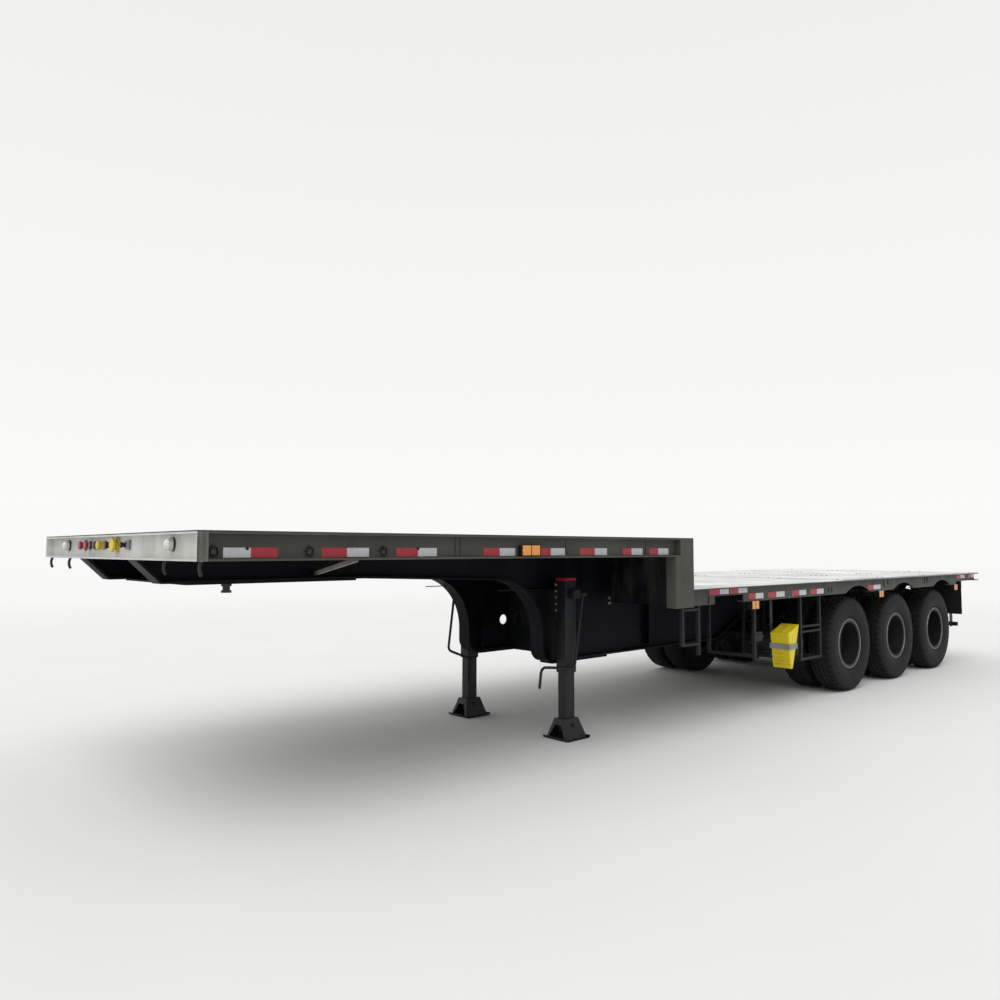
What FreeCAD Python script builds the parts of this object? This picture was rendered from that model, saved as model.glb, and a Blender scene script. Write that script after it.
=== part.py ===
import FreeCAD, Part
import math
import os

# Overall sizes in millimetres: X points forward, Y left, Z up from the ground
WIDTH = 3000.0
UPPER_DECK_LENGTH = 4282.0
STEP_TO_FIRST_AXLE = 3355.0
AXLE_SPACING = 1310.0
REAR_OVERHANG = 1293.0
TYRE_RADIUS = 542.5
DECK_OVER_TYRE = 207.0
STEP_HEIGHT = 438.0
DECK_PLATE = 6.0

# Side rails: channels whose webs stand back under the deck's edge
RAIL_INSET = 62.0
RAIL_WEB = 8.0
RAIL_FLANGE = 11.0
UPPER_RAIL_HEIGHT = 160.0
LOWER_RAIL_HEIGHT = 156.0
LOWER_RAIL_TURN_IN = 60.0
SHALLOW_RAIL_HEIGHT = 84.0
SHALLOW_RAIL_FROM_STEP = 418.0
SHALLOW_RAIL_LENGTH = 480.0
TAIL_RAIL_HEIGHT = 112.0
TAIL_RAIL_LENGTH = 750.0
ARCH_GAP = 129.5

# Front and rear rails
FRONT_RAIL_RECESS = 50.0
REAR_RAIL_DEPTH = 150.0
REAR_RAIL_RECESS = 52.0
HOOK_RADIUS = 9.0
HOOK_DROP = 76.0
HOOK_BULGE = 20.0

# Main beams
BEAM_WEB = 12.0
BEAM_FLANGE_WIDTH = 150.0
BEAM_FLANGE = 16.0
NECK_DEPTH = 306.0
NECK_TAPER = 49.0
NECK_END_BEVEL = 150.0
NECK_TAPER_START = 1550.0
GOOSENECK_RADIUS = 503.0
GOOSENECK_FACE_FROM_STEP = 927.0
HEEL_RADIUS = 120.0
WELL_DEPTH = 642.0
WELL_END_FROM_AXLE = 1587.0
SUSPENSION_FROM_AXLE = 1107.0
TAIL_RISE_LENGTH = 570.0
TAIL_DEPTH = 120.0
DOUBLER = 18.0
DOUBLER_LENGTH = 730.0
WEB_HOLE_RADIUS = 48.5
WEB_HOLE_FROM_STEP = 422.0
WEB_HOLE_RISE = 280.0
STIFFENER = 10.0
STIFFENER_WIDTH = 60.0
HEEL_PLATE_FROM_STEP = 338.0
HEEL_PLATE = 12.0
HEEL_PLATE_RISE = 550.0
HEEL_HOLE_RADIUS = 50.0
HEEL_HOLE_INSET = 134.0
NECK_SHELF_DROP = 139.0

# Crossmembers
CROSS_WIDTH = 65.0
CROSS_WEB = 6.0
CROSS_FLANGE = 8.0
UPPER_CROSS_PITCH = 560.0
REAR_CROSS_FROM_RAIL = 210.0
BRACE_BACK = 1085.0
BRACE_LEAN = 240.0
BRACE_SECTION = 24.0

# Coupler plate and kingpin
COUPLER_START = 300.0
COUPLER_END = 1500.0
COUPLER_OVERHANG = 60.0
COUPLER_PLATE = 12.0
KINGPIN_BACK = 793.0
KINGPIN_NECK_RADIUS = 25.4
KINGPIN_FOOT_RADIUS = 35.7
KINGPIN_COLLAR_RADIUS = 58.0
KINGPIN_FLANGE_RADIUS = 92.0
KINGPIN_FLANGE = 12.0
KINGPIN_SHOULDER = 38.0
KINGPIN_NECK = 30.0
KINGPIN_FOOT = 16.0

# Tyres, rims and hubs
TYRE_WIDTH = 288.0
TYRE_INSET = 295.0
TWIN_SPACING = 350.0
BEAM_FROM_INNER_TYRE = 355.0
BEAD_RADIUS = 257.0
BEAD_GAP = 0.3
RIM_WIDTH = 236.0
RIM_FLANGE_HEIGHT = 33.0
RIM_FLANGE = 12.0
RIM_SHELL = 9.0
DISC_PLATE = 13.0
DISC_BORE = 118.0
HUB_FLANGE_RADIUS = 168.0
HUB_FLANGE = 14.0
HUB_BORE = 64.0
HUB_CAP_RADIUS = 58.0
HUB_CAP_REACH = 150.0
DRUM_RADIUS = 205.0
DRUM_WALL = 18.0
DRUM_LENGTH = 194.0

# Axles and springs
AXLE_RADIUS = 75.0
SPINDLE_RADIUS = 55.0
RUNNING_GAP = 0.3
BRAKE_PLATE_INSET = 218.0
BRAKE_PLATE = 8.0
SHOE_DISC_RADIUS = 176.0
CAMSHAFT_RADIUS = 21.0
CAMSHAFT_BACK = 128.0
CHAMBER_RADIUS = 84.0
CHAMBER_LENGTH = 180.0
CHAMBER_INSET = 200.0
CHAMBER_RISE = 150.0
SPRING_HALF = 560.0
SPRING_WIDTH = 90.0
SPRING_LEAF = 13.0
SPRING_RISE = 48.0
SPRING_SEAT_RISE = 112.5
SEAT_LENGTH = 180.0
SEAT_WIDTH = 120.0
HANGER_PLATE = 12.0
HANGER_LENGTH = 260.0
HANGER_HEADROOM = 76.0
HANGER_DROP = 104.0

# Landing legs
LEG_FROM_STEP = 722.0
LEG_FROM_BEAM = 164.0
LEG_LENGTH = 134.0
LEG_WIDTH = 110.0
LEG_WALL = 10.7
LEG_SLIDE_GAP = 0.3
LEG_TOP_DROP = 64.0
LEG_BELOW_WELL = 84.0
LEG_POINT_DROP = 14.0
LEG_CAP = 22.0
LEG_CAP_LIP = 3.0
LEG_PLATE = 12.0
LEG_MOUNT_HEIGHT = 360.0
LEG_MOUNT_REACH = 17.0
INNER_LEG_OVERLAP = 334.0
INNER_LEG_BOTTOM_Z = 60.0
INNER_LEG_WALL = 6.0
SHOE_BASE = 293.0
SHOE_FOOT_LENGTH = 268.0
SHOE_FOOT_WIDTH = 235.0
SHOE_TOP_LENGTH = 168.0
SHOE_TOP_WIDTH = 126.0
SHOE_TOP_Z = 172.0
SHOE_WALL = 8.0
SHOE_CURL = 24.0
SHOE_PIN_Z = 118.0
SHOE_PIN_RADIUS = 16.0
GEAR_SHAFT_DROP = 182.0
GEAR_SHAFT_RADIUS = 14.0
GEAR_SHAFT_OUT = 36.0
GEAR_BOX = 74.0
GEAR_SHAFT_LENGTH = 23.0
CRANK_JOINT_RADIUS = 22.0
CRANK_JOINT_LENGTH = 60.0
CRANK_RADIUS = 12.0
CRANK_BEND = 50.0

# Step between the decks
POST_LENGTH = 180.0
POST_FOOT_LENGTH = 252.0
POST_WIDTH = 100.0
POST_BELOW_DECK = 160.0
BULKHEAD_PLATE = 8.0

# Stowage frames, air tanks and wheel chocks
RACK_BAR = 30.0
RACK_RAIL = 20.0
POST_FRAME_DROP = 342.0
POST_FRAME_LEG = 90.0
POST_FRAME_AHEAD = 72.0
POST_FRAME_LENGTH = 270.0
HOSE_BAR_SHARE = 0.428
HOSE_BAR_DROP = 692.0
HOSE_BAR_INNER_INSET = 700.0
HOSE_BAR_INSET = 150.0
HOSE_STUB = 55.0
VALVE_LENGTH = 125.0
VALVE_HEIGHT = 90.0
VALVE_RISE = 168.0
VALVE_GAP = 35.0
TANK_FRAME_LENGTH = 460.0
TANK_FRAME_FROM_TYRE = 94.5
TANK_FRAME_INSET = 204.0
TANK_FRAME_DROP = 852.0
TANK_SHELVES = (295.0, 352.0)
TANK_RADIUS = 135.0
TANK_RISE = 168.0
TANK_LENGTH = 560.0
TANK_INSET = 300.0
TANK_DOME = 45.0
TANK_SADDLE_INSET = 110.0
CURVED_GAP = 0.3
CHOCK_SHARE = 0.64
CHOCK_WIDTH = 200.0
CHOCK_INSET = 102.0
CHOCK_BAND_RISE = 195.0
CHOCK_DROP = 882.0
CHOCK_BAND_HEIGHT = 56.0
CHOCK_BAND_WALL = 8.0
CHOCK_SLOT_DEPTH = 14.0

# Lamps, couplings, mudflaps and rear guard
UPPER_LAMP_FROM_STEP = 2002.0
UPPER_LAMP_LENGTH = 170.0
UPPER_LAMP_HEIGHT = 70.0
UPPER_LAMP_DEPTH = 32.0
UPPER_LAMP_GAP = 9.0
SIDE_LAMP_FROM_DEEP = 135.0
SIDE_LAMP_FROM_AXLE = 544.0
SIDE_LAMP_OUT = 15.0
SIDE_LAMP_LENGTH = 120.0
SIDE_LAMP_HEIGHT = 74.0
SIDE_LAMP_DEPTH = 50.0
FRONT_LAMP_INSET = 466.0
FRONT_LAMP_RADIUS = 40.0
FRONT_LAMP_LENS_RADIUS = 33.0
TAIL_LAMP_INSET = 350.0
TAIL_LAMP_LENGTH = 320.0
TAIL_LAMP_HEIGHT = 70.0
TAIL_LAMP_DEPTH = 38.0
COUPLING_RISE = 90.0
FLAP_FROM_REAR = 520.0
FLAP_THICKNESS = 10.0
FLAP_BRACKET = 20.0
FLAP_TOP_DROP = 172.0
FLAP_HEIGHT = 420.0
GUARD_RADIUS = 30.0
GUARD_DROP = 757.0
GUARD_INSET = 230.0
GUARD_FROM_REAR = 250.0
GUARD_POST = 12.0
GUARD_OVERHANG = 74.0
GUARD_POST_LENGTH = 90.0

# Length of each spring leaf against the longest, from the top one down
SPRING_LEAVES = [1.0, 1.0, 0.875, 0.75, 0.625, 0.5, 0.375]

# Places that follow from the sizes above
BIG = 20000.0
STEP = UPPER_DECK_LENGTH
FIRST_AXLE = STEP + STEP_TO_FIRST_AXLE
AXLES = [FIRST_AXLE, FIRST_AXLE + AXLE_SPACING, FIRST_AXLE + 2 * AXLE_SPACING]
LENGTH = AXLES[-1] + REAR_OVERHANG
HALF_WIDTH = WIDTH / 2
LOWER_DECK_Z = 2 * TYRE_RADIUS + DECK_OVER_TYRE
UPPER_DECK_Z = LOWER_DECK_Z + STEP_HEIGHT
NECK_BOTTOM_Z = UPPER_DECK_Z - NECK_DEPTH
WELL_BOTTOM_Z = LOWER_DECK_Z - WELL_DEPTH
TAIL_BOTTOM_Z = LOWER_DECK_Z - TAIL_DEPTH
WEB_HOLE_Z = WELL_BOTTOM_Z + WEB_HOLE_RISE
NECK_SHELF_Z = NECK_BOTTOM_Z - NECK_SHELF_DROP
LEG_TOP_Z = NECK_BOTTOM_Z - LEG_TOP_DROP
LEG_BOTTOM_Z = WELL_BOTTOM_Z - LEG_BELOW_WELL
GEAR_SHAFT_Z = NECK_BOTTOM_Z - GEAR_SHAFT_DROP
POST_BOTTOM_Z = LOWER_DECK_Z - POST_BELOW_DECK
UPPER_PLATE_Z = UPPER_DECK_Z - DECK_PLATE
UPPER_RAIL_Z = UPPER_DECK_Z - UPPER_RAIL_HEIGHT
LOWER_PLATE_Z = LOWER_DECK_Z - DECK_PLATE
LOWER_RAIL_Z = LOWER_DECK_Z - LOWER_RAIL_HEIGHT
SHALLOW_RAIL_Z = LOWER_DECK_Z - SHALLOW_RAIL_HEIGHT
TAIL_RAIL_Z = LOWER_DECK_Z - TAIL_RAIL_HEIGHT
RAIL_FACE_Y = HALF_WIDTH - RAIL_INSET
RAIL_WEB_Y = RAIL_FACE_Y - RAIL_WEB
REAR_RAIL_FRONT = LENGTH - REAR_RAIL_DEPTH
REAR_WEB_END = LENGTH - REAR_RAIL_RECESS
LOWER_DECK_START = STEP + BULKHEAD_PLATE
BEAM_FRONT = FRONT_RAIL_RECESS + RAIL_WEB
OUTER_TYRE_Y = HALF_WIDTH - TYRE_INSET
INNER_TYRE_Y = OUTER_TYRE_Y - TWIN_SPACING
MOUNT_Y = (OUTER_TYRE_Y + INNER_TYRE_Y) / 2
BEAM_Y = INNER_TYRE_Y - BEAM_FROM_INNER_TYRE
FLANGE_INNER_Y = BEAM_Y - BEAM_FLANGE_WIDTH / 2
FLANGE_OUTER_Y = BEAM_Y + BEAM_FLANGE_WIDTH / 2
WEB_INNER_Y = BEAM_Y - BEAM_WEB / 2
WEB_OUTER_Y = BEAM_Y + BEAM_WEB / 2
GOOSENECK_FACE = STEP - GOOSENECK_FACE_FROM_STEP
LEG_BACK = STEP - LEG_FROM_STEP
LEG_Y = BEAM_Y + LEG_FROM_BEAM
LEG_INNER_Y = LEG_Y - LEG_WIDTH / 2
LEG_OUTER_Y = LEG_Y + LEG_WIDTH / 2
BAY = FIRST_AXLE - TYRE_RADIUS - STEP
TANK_FRAME_END = FIRST_AXLE - TYRE_RADIUS - TANK_FRAME_FROM_TYRE
TANK_FRAME_START = TANK_FRAME_END - TANK_FRAME_LENGTH
TANK_BACK = TANK_FRAME_START + RACK_BAR + TANK_RADIUS
CHOCK_BACK = STEP + BAY * CHOCK_SHARE
HOSE_BACK = STEP + BAY * HOSE_BAR_SHARE
CROSS_BOTTOM_Z = LOWER_RAIL_Z + RAIL_FLANGE
SPRING_SEAT_Z = TYRE_RADIUS + SPRING_SEAT_RISE
SPRING_TOP_Z = SPRING_SEAT_Z + SPRING_LEAF * len(SPRING_LEAVES)
SPRING_END_Z = SPRING_TOP_Z + SPRING_RISE
SUSPENSION_BEAM_Z = SPRING_END_Z + HANGER_HEADROOM
CHOCK_Z = LOWER_DECK_Z - CHOCK_DROP
GUARD_Z = LOWER_DECK_Z - GUARD_DROP
COUPLING_Z = UPPER_RAIL_Z + COUPLING_RISE


def fx(back):
    return LENGTH / 2 - back


def block(back0, back1, y0, y1, z0, z1):
    corner = FreeCAD.Vector(fx(back1), y0, z0)
    return Part.makeBox(back1 - back0, y1 - y0, z1 - z0, corner)


# Points are (back, z), or (back, z, back, z) for an arc with its middle point last
def outline(points):
    edges = []
    here = FreeCAD.Vector(fx(points[-1][0]), 0, points[-1][1])
    for point in points:
        there = FreeCAD.Vector(fx(point[0]), 0, point[1])
        if len(point) == 4:
            middle = FreeCAD.Vector(fx(point[2]), 0, point[3])
            edges.append(Part.Arc(here, middle, there).toShape())
        else:
            edges.append(Part.makeLine(here, there))
        here = there
    return Part.Wire(edges)


def slab(wire, y0, y1):
    face = Part.Face(wire)
    face.translate(FreeCAD.Vector(0, y0, 0))
    return face.extrude(FreeCAD.Vector(0, y1 - y0, 0))


def rod_y(back, z, radius, y0, y1):
    start = FreeCAD.Vector(fx(back), y0, z)
    return Part.makeCylinder(radius, y1 - y0, start, FreeCAD.Vector(0, 1, 0))


def rod_x(back0, back1, y, z, radius):
    start = FreeCAD.Vector(fx(back1), y, z)
    return Part.makeCylinder(radius, back1 - back0, start, FreeCAD.Vector(1, 0, 0))


def rod_z(back, y, radius, z0, z1):
    return Part.makeCylinder(radius, z1 - z0, FreeCAD.Vector(fx(back), y, z0))


# Revolve of (along, radius) points about the Y axis, or about X where ahead is forward
def turned(profile, centre_y):
    wire = Part.makePolygon([FreeCAD.Vector(0, centre_y + y, r) for y, r in profile + profile[:1]])
    return Part.Face(wire).revolve(FreeCAD.Vector(0, 0, 0), FreeCAD.Vector(0, 1, 0), 360)


def turned_x(profile, back, y, z):
    wire = Part.makePolygon([FreeCAD.Vector(ahead, 0, r) for ahead, r in profile + profile[:1]])
    made = Part.Face(wire).revolve(FreeCAD.Vector(0, 0, 0), FreeCAD.Vector(1, 0, 0), 360)
    made.translate(FreeCAD.Vector(fx(back), y, z))
    return made


# Bar bent through points of (back, y, z), with one bend radius at every corner
def bent_bar(points, bend, radius):
    spots = [FreeCAD.Vector(fx(back), y, z) for back, y, z in points]
    edges = []
    here = spots[0]
    for before, corner, after in zip(spots[:-2], spots[1:-1], spots[2:]):
        into = (corner - before).normalize()
        out = (after - corner).normalize()
        turn = into.getAngle(out)
        reach = bend * math.tan(turn / 2)
        start = corner - into * reach
        end = corner + out * reach
        inward = (out - into).normalize()
        middle = corner + inward * (bend / math.cos(turn / 2) - bend)
        edges.append(Part.makeLine(here, start))
        edges.append(Part.Arc(start, middle, end).toShape())
        here = end
    edges.append(Part.makeLine(here, spots[-1]))
    circle = Part.Wire([Part.makeCircle(radius, spots[0], spots[1] - spots[0])])
    return Part.Wire(edges).makePipeShell([circle], True, False)


def fuse(pieces):
    if len(pieces) == 1:
        return pieces[0]
    return pieces[0].fuse(pieces[1:]).removeSplitter()


def group(pieces):
    solids = []
    for piece in pieces:
        solids.extend(piece.Solids)
    return Part.makeCompound(solids)


def mirrored(shape):
    return shape.mirror(FreeCAD.Vector(0, 0, 0), FreeCAD.Vector(0, 1, 0))


def both(pieces):
    return group(pieces + [mirrored(one) for one in pieces])


def half_turned(shape, back):
    made = shape.copy()
    made.rotate(FreeCAD.Vector(fx(back), 0, 0), FreeCAD.Vector(0, 0, 1), 180)
    return made


def save(shape, node):
    shape.exportStep("parts/" + node + ".step")


# Web stiffeners: place behind the step, side of the web, and ends above the well's bottom
STIFFENERS = [(-757.0, -1, 30.0, 530.0), (575.0, 1, 45.0, 439.0)]


def beam_outline():
    face = GOOSENECK_FACE
    radius = GOOSENECK_RADIUS
    centre = face - radius
    centre_z = NECK_BOTTOM_Z - NECK_TAPER - radius
    half = radius * math.sqrt(0.5)
    near = HEEL_RADIUS * (1 - math.sqrt(0.5))
    bottom = WELL_BOTTOM_Z
    return outline([
        (0.0, UPPER_RAIL_Z),
        (NECK_END_BEVEL, NECK_BOTTOM_Z),
        (NECK_TAPER_START, NECK_BOTTOM_Z),
        (centre, centre_z + radius),
        (face, centre_z, centre + half, centre_z + half),
        (face, bottom + HEEL_RADIUS),
        (face + HEEL_RADIUS, bottom, face + near, bottom + near),
        (FIRST_AXLE - WELL_END_FROM_AXLE, bottom),
        (FIRST_AXLE - SUSPENSION_FROM_AXLE, SUSPENSION_BEAM_Z),
        (LENGTH - TAIL_RISE_LENGTH, SUSPENSION_BEAM_Z),
        (REAR_RAIL_FRONT, TAIL_BOTTOM_Z),
        (REAR_RAIL_FRONT, LOWER_PLATE_Z),
        (STEP, LOWER_PLATE_Z),
        (STEP, UPPER_PLATE_Z),
        (BEAM_FRONT, UPPER_PLATE_Z),
        (BEAM_FRONT, UPPER_RAIL_Z),
    ])


def main_beam():
    wire = beam_outline()
    inner = wire.makeOffset2D(-BEAM_FLANGE, 2)
    if Part.Face(inner).Area > Part.Face(wire).Area:
        inner = wire.makeOffset2D(BEAM_FLANGE, 2)
    inside = slab(inner, 0, 2 * BEAM_Y)
    rim = slab(wire, FLANGE_INNER_Y, FLANGE_OUTER_Y).cut(inside)
    web = slab(wire, WEB_INNER_Y, WEB_OUTER_Y)
    web = web.cut(rod_y(STEP - WEB_HOLE_FROM_STEP, WEB_HOLE_Z, WEB_HOLE_RADIUS, 0, BIG))
    start = GOOSENECK_FACE + HEEL_RADIUS
    doubler = block(start, start + DOUBLER_LENGTH, FLANGE_INNER_Y, FLANGE_OUTER_Y,
                    WELL_BOTTOM_Z - DOUBLER, WELL_BOTTOM_Z)
    shelf = block(GOOSENECK_FACE - GOOSENECK_RADIUS, LEG_BACK, WEB_OUTER_Y, FLANGE_OUTER_Y,
                  NECK_SHELF_Z - STIFFENER, NECK_SHELF_Z).common(inside)
    pieces = [rim, web, doubler, shelf]
    for from_step, side, bottom, top in STIFFENERS:
        back = STEP + from_step
        edge = WEB_OUTER_Y if side > 0 else WEB_INNER_Y - STIFFENER_WIDTH
        pieces.append(block(back, back + STIFFENER, edge, edge + STIFFENER_WIDTH, WELL_BOTTOM_Z + bottom,
                            WELL_BOTTOM_Z + top))
    return fuse(pieces)


def coupler():
    half = BEAM_Y + COUPLER_OVERHANG
    plate = block(COUPLER_START, COUPLER_END, -half, half, NECK_BOTTOM_Z - COUPLER_PLATE, NECK_BOTTOM_Z)
    return plate.cut(rod_z(KINGPIN_BACK, 0, KINGPIN_COLLAR_RADIUS + CURVED_GAP, 0, BIG))


def kingpin():
    top = NECK_BOTTOM_Z + KINGPIN_FLANGE
    levels = [
        (KINGPIN_FLANGE_RADIUS, KINGPIN_FLANGE),
        (KINGPIN_COLLAR_RADIUS, COUPLER_PLATE),
        (KINGPIN_FOOT_RADIUS, KINGPIN_SHOULDER),
        (KINGPIN_NECK_RADIUS, KINGPIN_NECK),
        (KINGPIN_FOOT_RADIUS, KINGPIN_FOOT),
    ]
    pieces = []
    for radius, height in levels:
        pieces.append(rod_z(KINGPIN_BACK, 0, radius, top - height, top))
        top = top - height
    return fuse(pieces)


def rail_channel(back0, back1, y0, y1, bottom, top, web0, web1):
    web = block(web0[0], web1[0], web0[1], web1[1], bottom, top)
    low = block(back0, back1, y0, y1, bottom, bottom + RAIL_FLANGE)
    high = block(back0, back1, y0, y1, top - RAIL_FLANGE, top)
    return [web, low, high]


def rope_hook(y):
    back = FRONT_RAIL_RECESS - HOOK_RADIUS
    low = UPPER_RAIL_Z - HOOK_DROP
    bulge = (back - HOOK_BULGE, y, (UPPER_RAIL_Z + low) / 2)
    return bent_bar([(back, y, UPPER_RAIL_Z + RAIL_FLANGE / 2), bulge, (back, y, low)], HOOK_DROP, HOOK_RADIUS)


# Rope hooks under the front rail, each by its place behind the corner of the deck
HOOK_INSETS = [38.0, 540.0]


def front_rail():
    pieces = rail_channel(0, FRONT_RAIL_RECESS, -HALF_WIDTH, HALF_WIDTH, UPPER_RAIL_Z, UPPER_PLATE_Z,
                          (FRONT_RAIL_RECESS, -HALF_WIDTH), (BEAM_FRONT, HALF_WIDTH))
    ends = [block(0, BEAM_FRONT, HALF_WIDTH - RAIL_WEB, HALF_WIDTH, UPPER_RAIL_Z, UPPER_PLATE_Z)]
    hooks = [rope_hook(HALF_WIDTH - inset) for inset in HOOK_INSETS]
    return fuse(pieces + both(ends + hooks).Solids)


def upper_side_rail():
    end = STEP - POST_LENGTH
    return fuse(rail_channel(BEAM_FRONT, end, RAIL_WEB_Y, HALF_WIDTH, UPPER_RAIL_Z, UPPER_PLATE_Z,
                             (BEAM_FRONT, RAIL_WEB_Y), (end, RAIL_FACE_Y)))


def step_bulkhead():
    inner = HALF_WIDTH - POST_WIDTH
    end = STEP + BULKHEAD_PLATE
    post = block(STEP - POST_LENGTH, STEP, inner, HALF_WIDTH, POST_BOTTOM_Z, UPPER_PLATE_Z)
    foot = block(STEP - POST_FOOT_LENGTH, STEP, inner, HALF_WIDTH, POST_BOTTOM_Z, UPPER_RAIL_Z)
    plate = block(STEP, end, -HALF_WIDTH, HALF_WIDTH, LOWER_DECK_Z, UPPER_DECK_Z)
    wing = block(STEP, end, FLANGE_OUTER_Y, HALF_WIDTH, POST_BOTTOM_Z, LOWER_DECK_Z)
    half = fuse([post, foot, wing])
    return fuse([plate, half, mirrored(half)])


def lower_side_rail():
    start = LOWER_DECK_START
    shallow = STEP + SHALLOW_RAIL_FROM_STEP
    deep = shallow + SHALLOW_RAIL_LENGTH
    tail = LENGTH - TAIL_RAIL_LENGTH
    turn_in = RAIL_WEB_Y - LOWER_RAIL_TURN_IN
    pieces = []
    pieces.append(block(start, REAR_RAIL_FRONT, RAIL_WEB_Y, HALF_WIDTH, LOWER_PLATE_Z - RAIL_FLANGE,
                        LOWER_PLATE_Z))
    pieces.append(block(shallow, deep, RAIL_WEB_Y, RAIL_FACE_Y, SHALLOW_RAIL_Z, LOWER_PLATE_Z))
    for back0, back1, bottom in ((start, shallow, LOWER_RAIL_Z), (deep, tail, LOWER_RAIL_Z),
                                 (tail, REAR_RAIL_FRONT, TAIL_RAIL_Z)):
        pieces.append(block(back0, back1, RAIL_WEB_Y, RAIL_FACE_Y, bottom, LOWER_PLATE_Z))
        pieces.append(block(back0, back1, turn_in, RAIL_WEB_Y, bottom, bottom + RAIL_FLANGE))
    rail = fuse(pieces)
    for back in AXLES:
        rail = rail.cut(rod_y(back, TYRE_RADIUS, TYRE_RADIUS + ARCH_GAP, 0, BIG))
    return rail


def rear_rail():
    pieces = rail_channel(REAR_RAIL_FRONT, LENGTH, -HALF_WIDTH, HALF_WIDTH, TAIL_RAIL_Z, LOWER_PLATE_Z,
                          (REAR_WEB_END - RAIL_WEB, -RAIL_FACE_Y), (REAR_WEB_END, RAIL_FACE_Y))
    ends = [block(REAR_RAIL_FRONT, LENGTH, RAIL_WEB_Y, RAIL_FACE_Y, TAIL_RAIL_Z, LOWER_PLATE_Z)]
    return fuse(pieces + both(ends).Solids)


# Lower crossmembers: place and underside of each
def lower_crosses():
    shallow = STEP + SHALLOW_RAIL_FROM_STEP + SHALLOW_RAIL_LENGTH / 2
    places = [
        (STEP + SHALLOW_RAIL_FROM_STEP / 3, CROSS_BOTTOM_Z),
        (shallow, SHALLOW_RAIL_Z),
        (HOSE_BACK, CROSS_BOTTOM_Z),
        (CHOCK_BACK, CROSS_BOTTOM_Z),
        (TANK_FRAME_START, CROSS_BOTTOM_Z),
        (TANK_FRAME_END - CROSS_WIDTH, CROSS_BOTTOM_Z),
        (LENGTH - TAIL_RAIL_LENGTH - CROSS_WIDTH, CROSS_BOTTOM_Z),
        (REAR_RAIL_FRONT - REAR_CROSS_FROM_RAIL, TAIL_RAIL_Z + RAIL_FLANGE),
    ]
    for back in AXLES[:-1]:
        places.append((back + (AXLE_SPACING - CROSS_WIDTH) / 2, CROSS_BOTTOM_Z))
    return places


def crossmember(back, bottom, top):
    reach = RAIL_WEB_Y
    end = back + CROSS_WIDTH
    web = block(back, back + CROSS_WEB, -reach, reach, bottom, top)
    low = block(back, end, -reach, reach, bottom, bottom + CROSS_FLANGE)
    high = block(back, end, -reach, reach, top - CROSS_FLANGE, top)
    whole = fuse([web, low, high])
    for middle in (-BEAM_Y, BEAM_Y):
        for half, low_z in ((BEAM_WEB / 2, 0.0), (BEAM_FLANGE_WIDTH / 2, top - BEAM_FLANGE)):
            whole = whole.cut(block(back - 1, end + 1, middle - half, middle + half, low_z, BIG))
    return whole


def upper_crosses():
    count = int((STEP - POST_FOOT_LENGTH) / UPPER_CROSS_PITCH)
    places = [UPPER_CROSS_PITCH * (index + 1) for index in range(count)]
    return [crossmember(back, UPPER_RAIL_Z, UPPER_PLATE_Z) for back in places]


def heel_plate():
    back = STEP - HEEL_PLATE_FROM_STEP
    plate = block(back, back + HEEL_PLATE, -WEB_INNER_Y, WEB_INNER_Y, WELL_BOTTOM_Z - DOUBLER,
                  WELL_BOTTOM_Z + HEEL_PLATE_RISE)
    for side in (-1, 1):
        hole_y = side * (WEB_INNER_Y - HEEL_HOLE_INSET)
        plate = plate.cut(rod_x(back - 1, back + HEEL_PLATE + 1, hole_y, WEB_HOLE_Z, HEEL_HOLE_RADIUS))
        edges = sorted([side * FLANGE_INNER_Y, side * FLANGE_OUTER_Y])
        plate = plate.cut(block(back - 1, back + HEEL_PLATE + 1, edges[0], edges[1], 0,
                                WELL_BOTTOM_Z + BEAM_FLANGE))
    return plate


def knee_brace():
    side = BRACE_SECTION
    foot_z = NECK_BOTTOM_Z + BEAM_FLANGE
    low = FreeCAD.Vector(fx(BRACE_BACK + BRACE_LEAN / 2), WEB_OUTER_Y, foot_z + side)
    high = FreeCAD.Vector(fx(BRACE_BACK - BRACE_LEAN / 2), RAIL_WEB_Y, UPPER_RAIL_Z)
    along = high - low
    bar = Part.makeBox(side, along.Length + 4 * side, side, FreeCAD.Vector(-side / 2, -2 * side, -side / 2))
    bar.Placement = FreeCAD.Placement(low, FreeCAD.Rotation(FreeCAD.Vector(0, 1, 0), along))
    return bar.common(block(0, STEP, WEB_OUTER_Y, RAIL_FACE_Y, foot_z, UPPER_RAIL_Z))


def tyre(centre_y):
    half = TYRE_WIDTH / 2
    bead = RIM_WIDTH / 2 - RIM_FLANGE
    seat = BEAD_RADIUS + BEAD_GAP
    over = BEAD_RADIUS + RIM_FLANGE_HEIGHT + 2
    # Across and radius from the bead up the sidewall to the tread
    right = [
        (bead, seat),
        (bead, over),
        (half - 14, over + 38),
        (half, (over + TYRE_RADIUS) / 2 - 17),
        (half - 8, TYRE_RADIUS - 72),
        (half - 20, TYRE_RADIUS - 27),
        (half - 52, TYRE_RADIUS - 3),
        (30.0, TYRE_RADIUS),
    ]
    left = [(-y, r) for y, r in reversed(right)]
    return turned(right + left, centre_y)


def rim(centre_y):
    half = RIM_WIDTH / 2
    inner = BEAD_RADIUS - RIM_SHELL
    flange = BEAD_RADIUS + RIM_FLANGE_HEIGHT
    profile = [
        (-half, inner),
        (half, inner),
        (half, flange),
        (half - RIM_FLANGE, flange),
        (half - RIM_FLANGE, BEAD_RADIUS),
        (-half + RIM_FLANGE, BEAD_RADIUS),
        (-half + RIM_FLANGE, flange),
        (-half, flange),
    ]
    return turned(profile, centre_y)


# Bearing seats across, measured outwards from the plane between the twin wheels
BEARINGS = [(-100.0, -66.0), (46.0, 76.0)]


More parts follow.
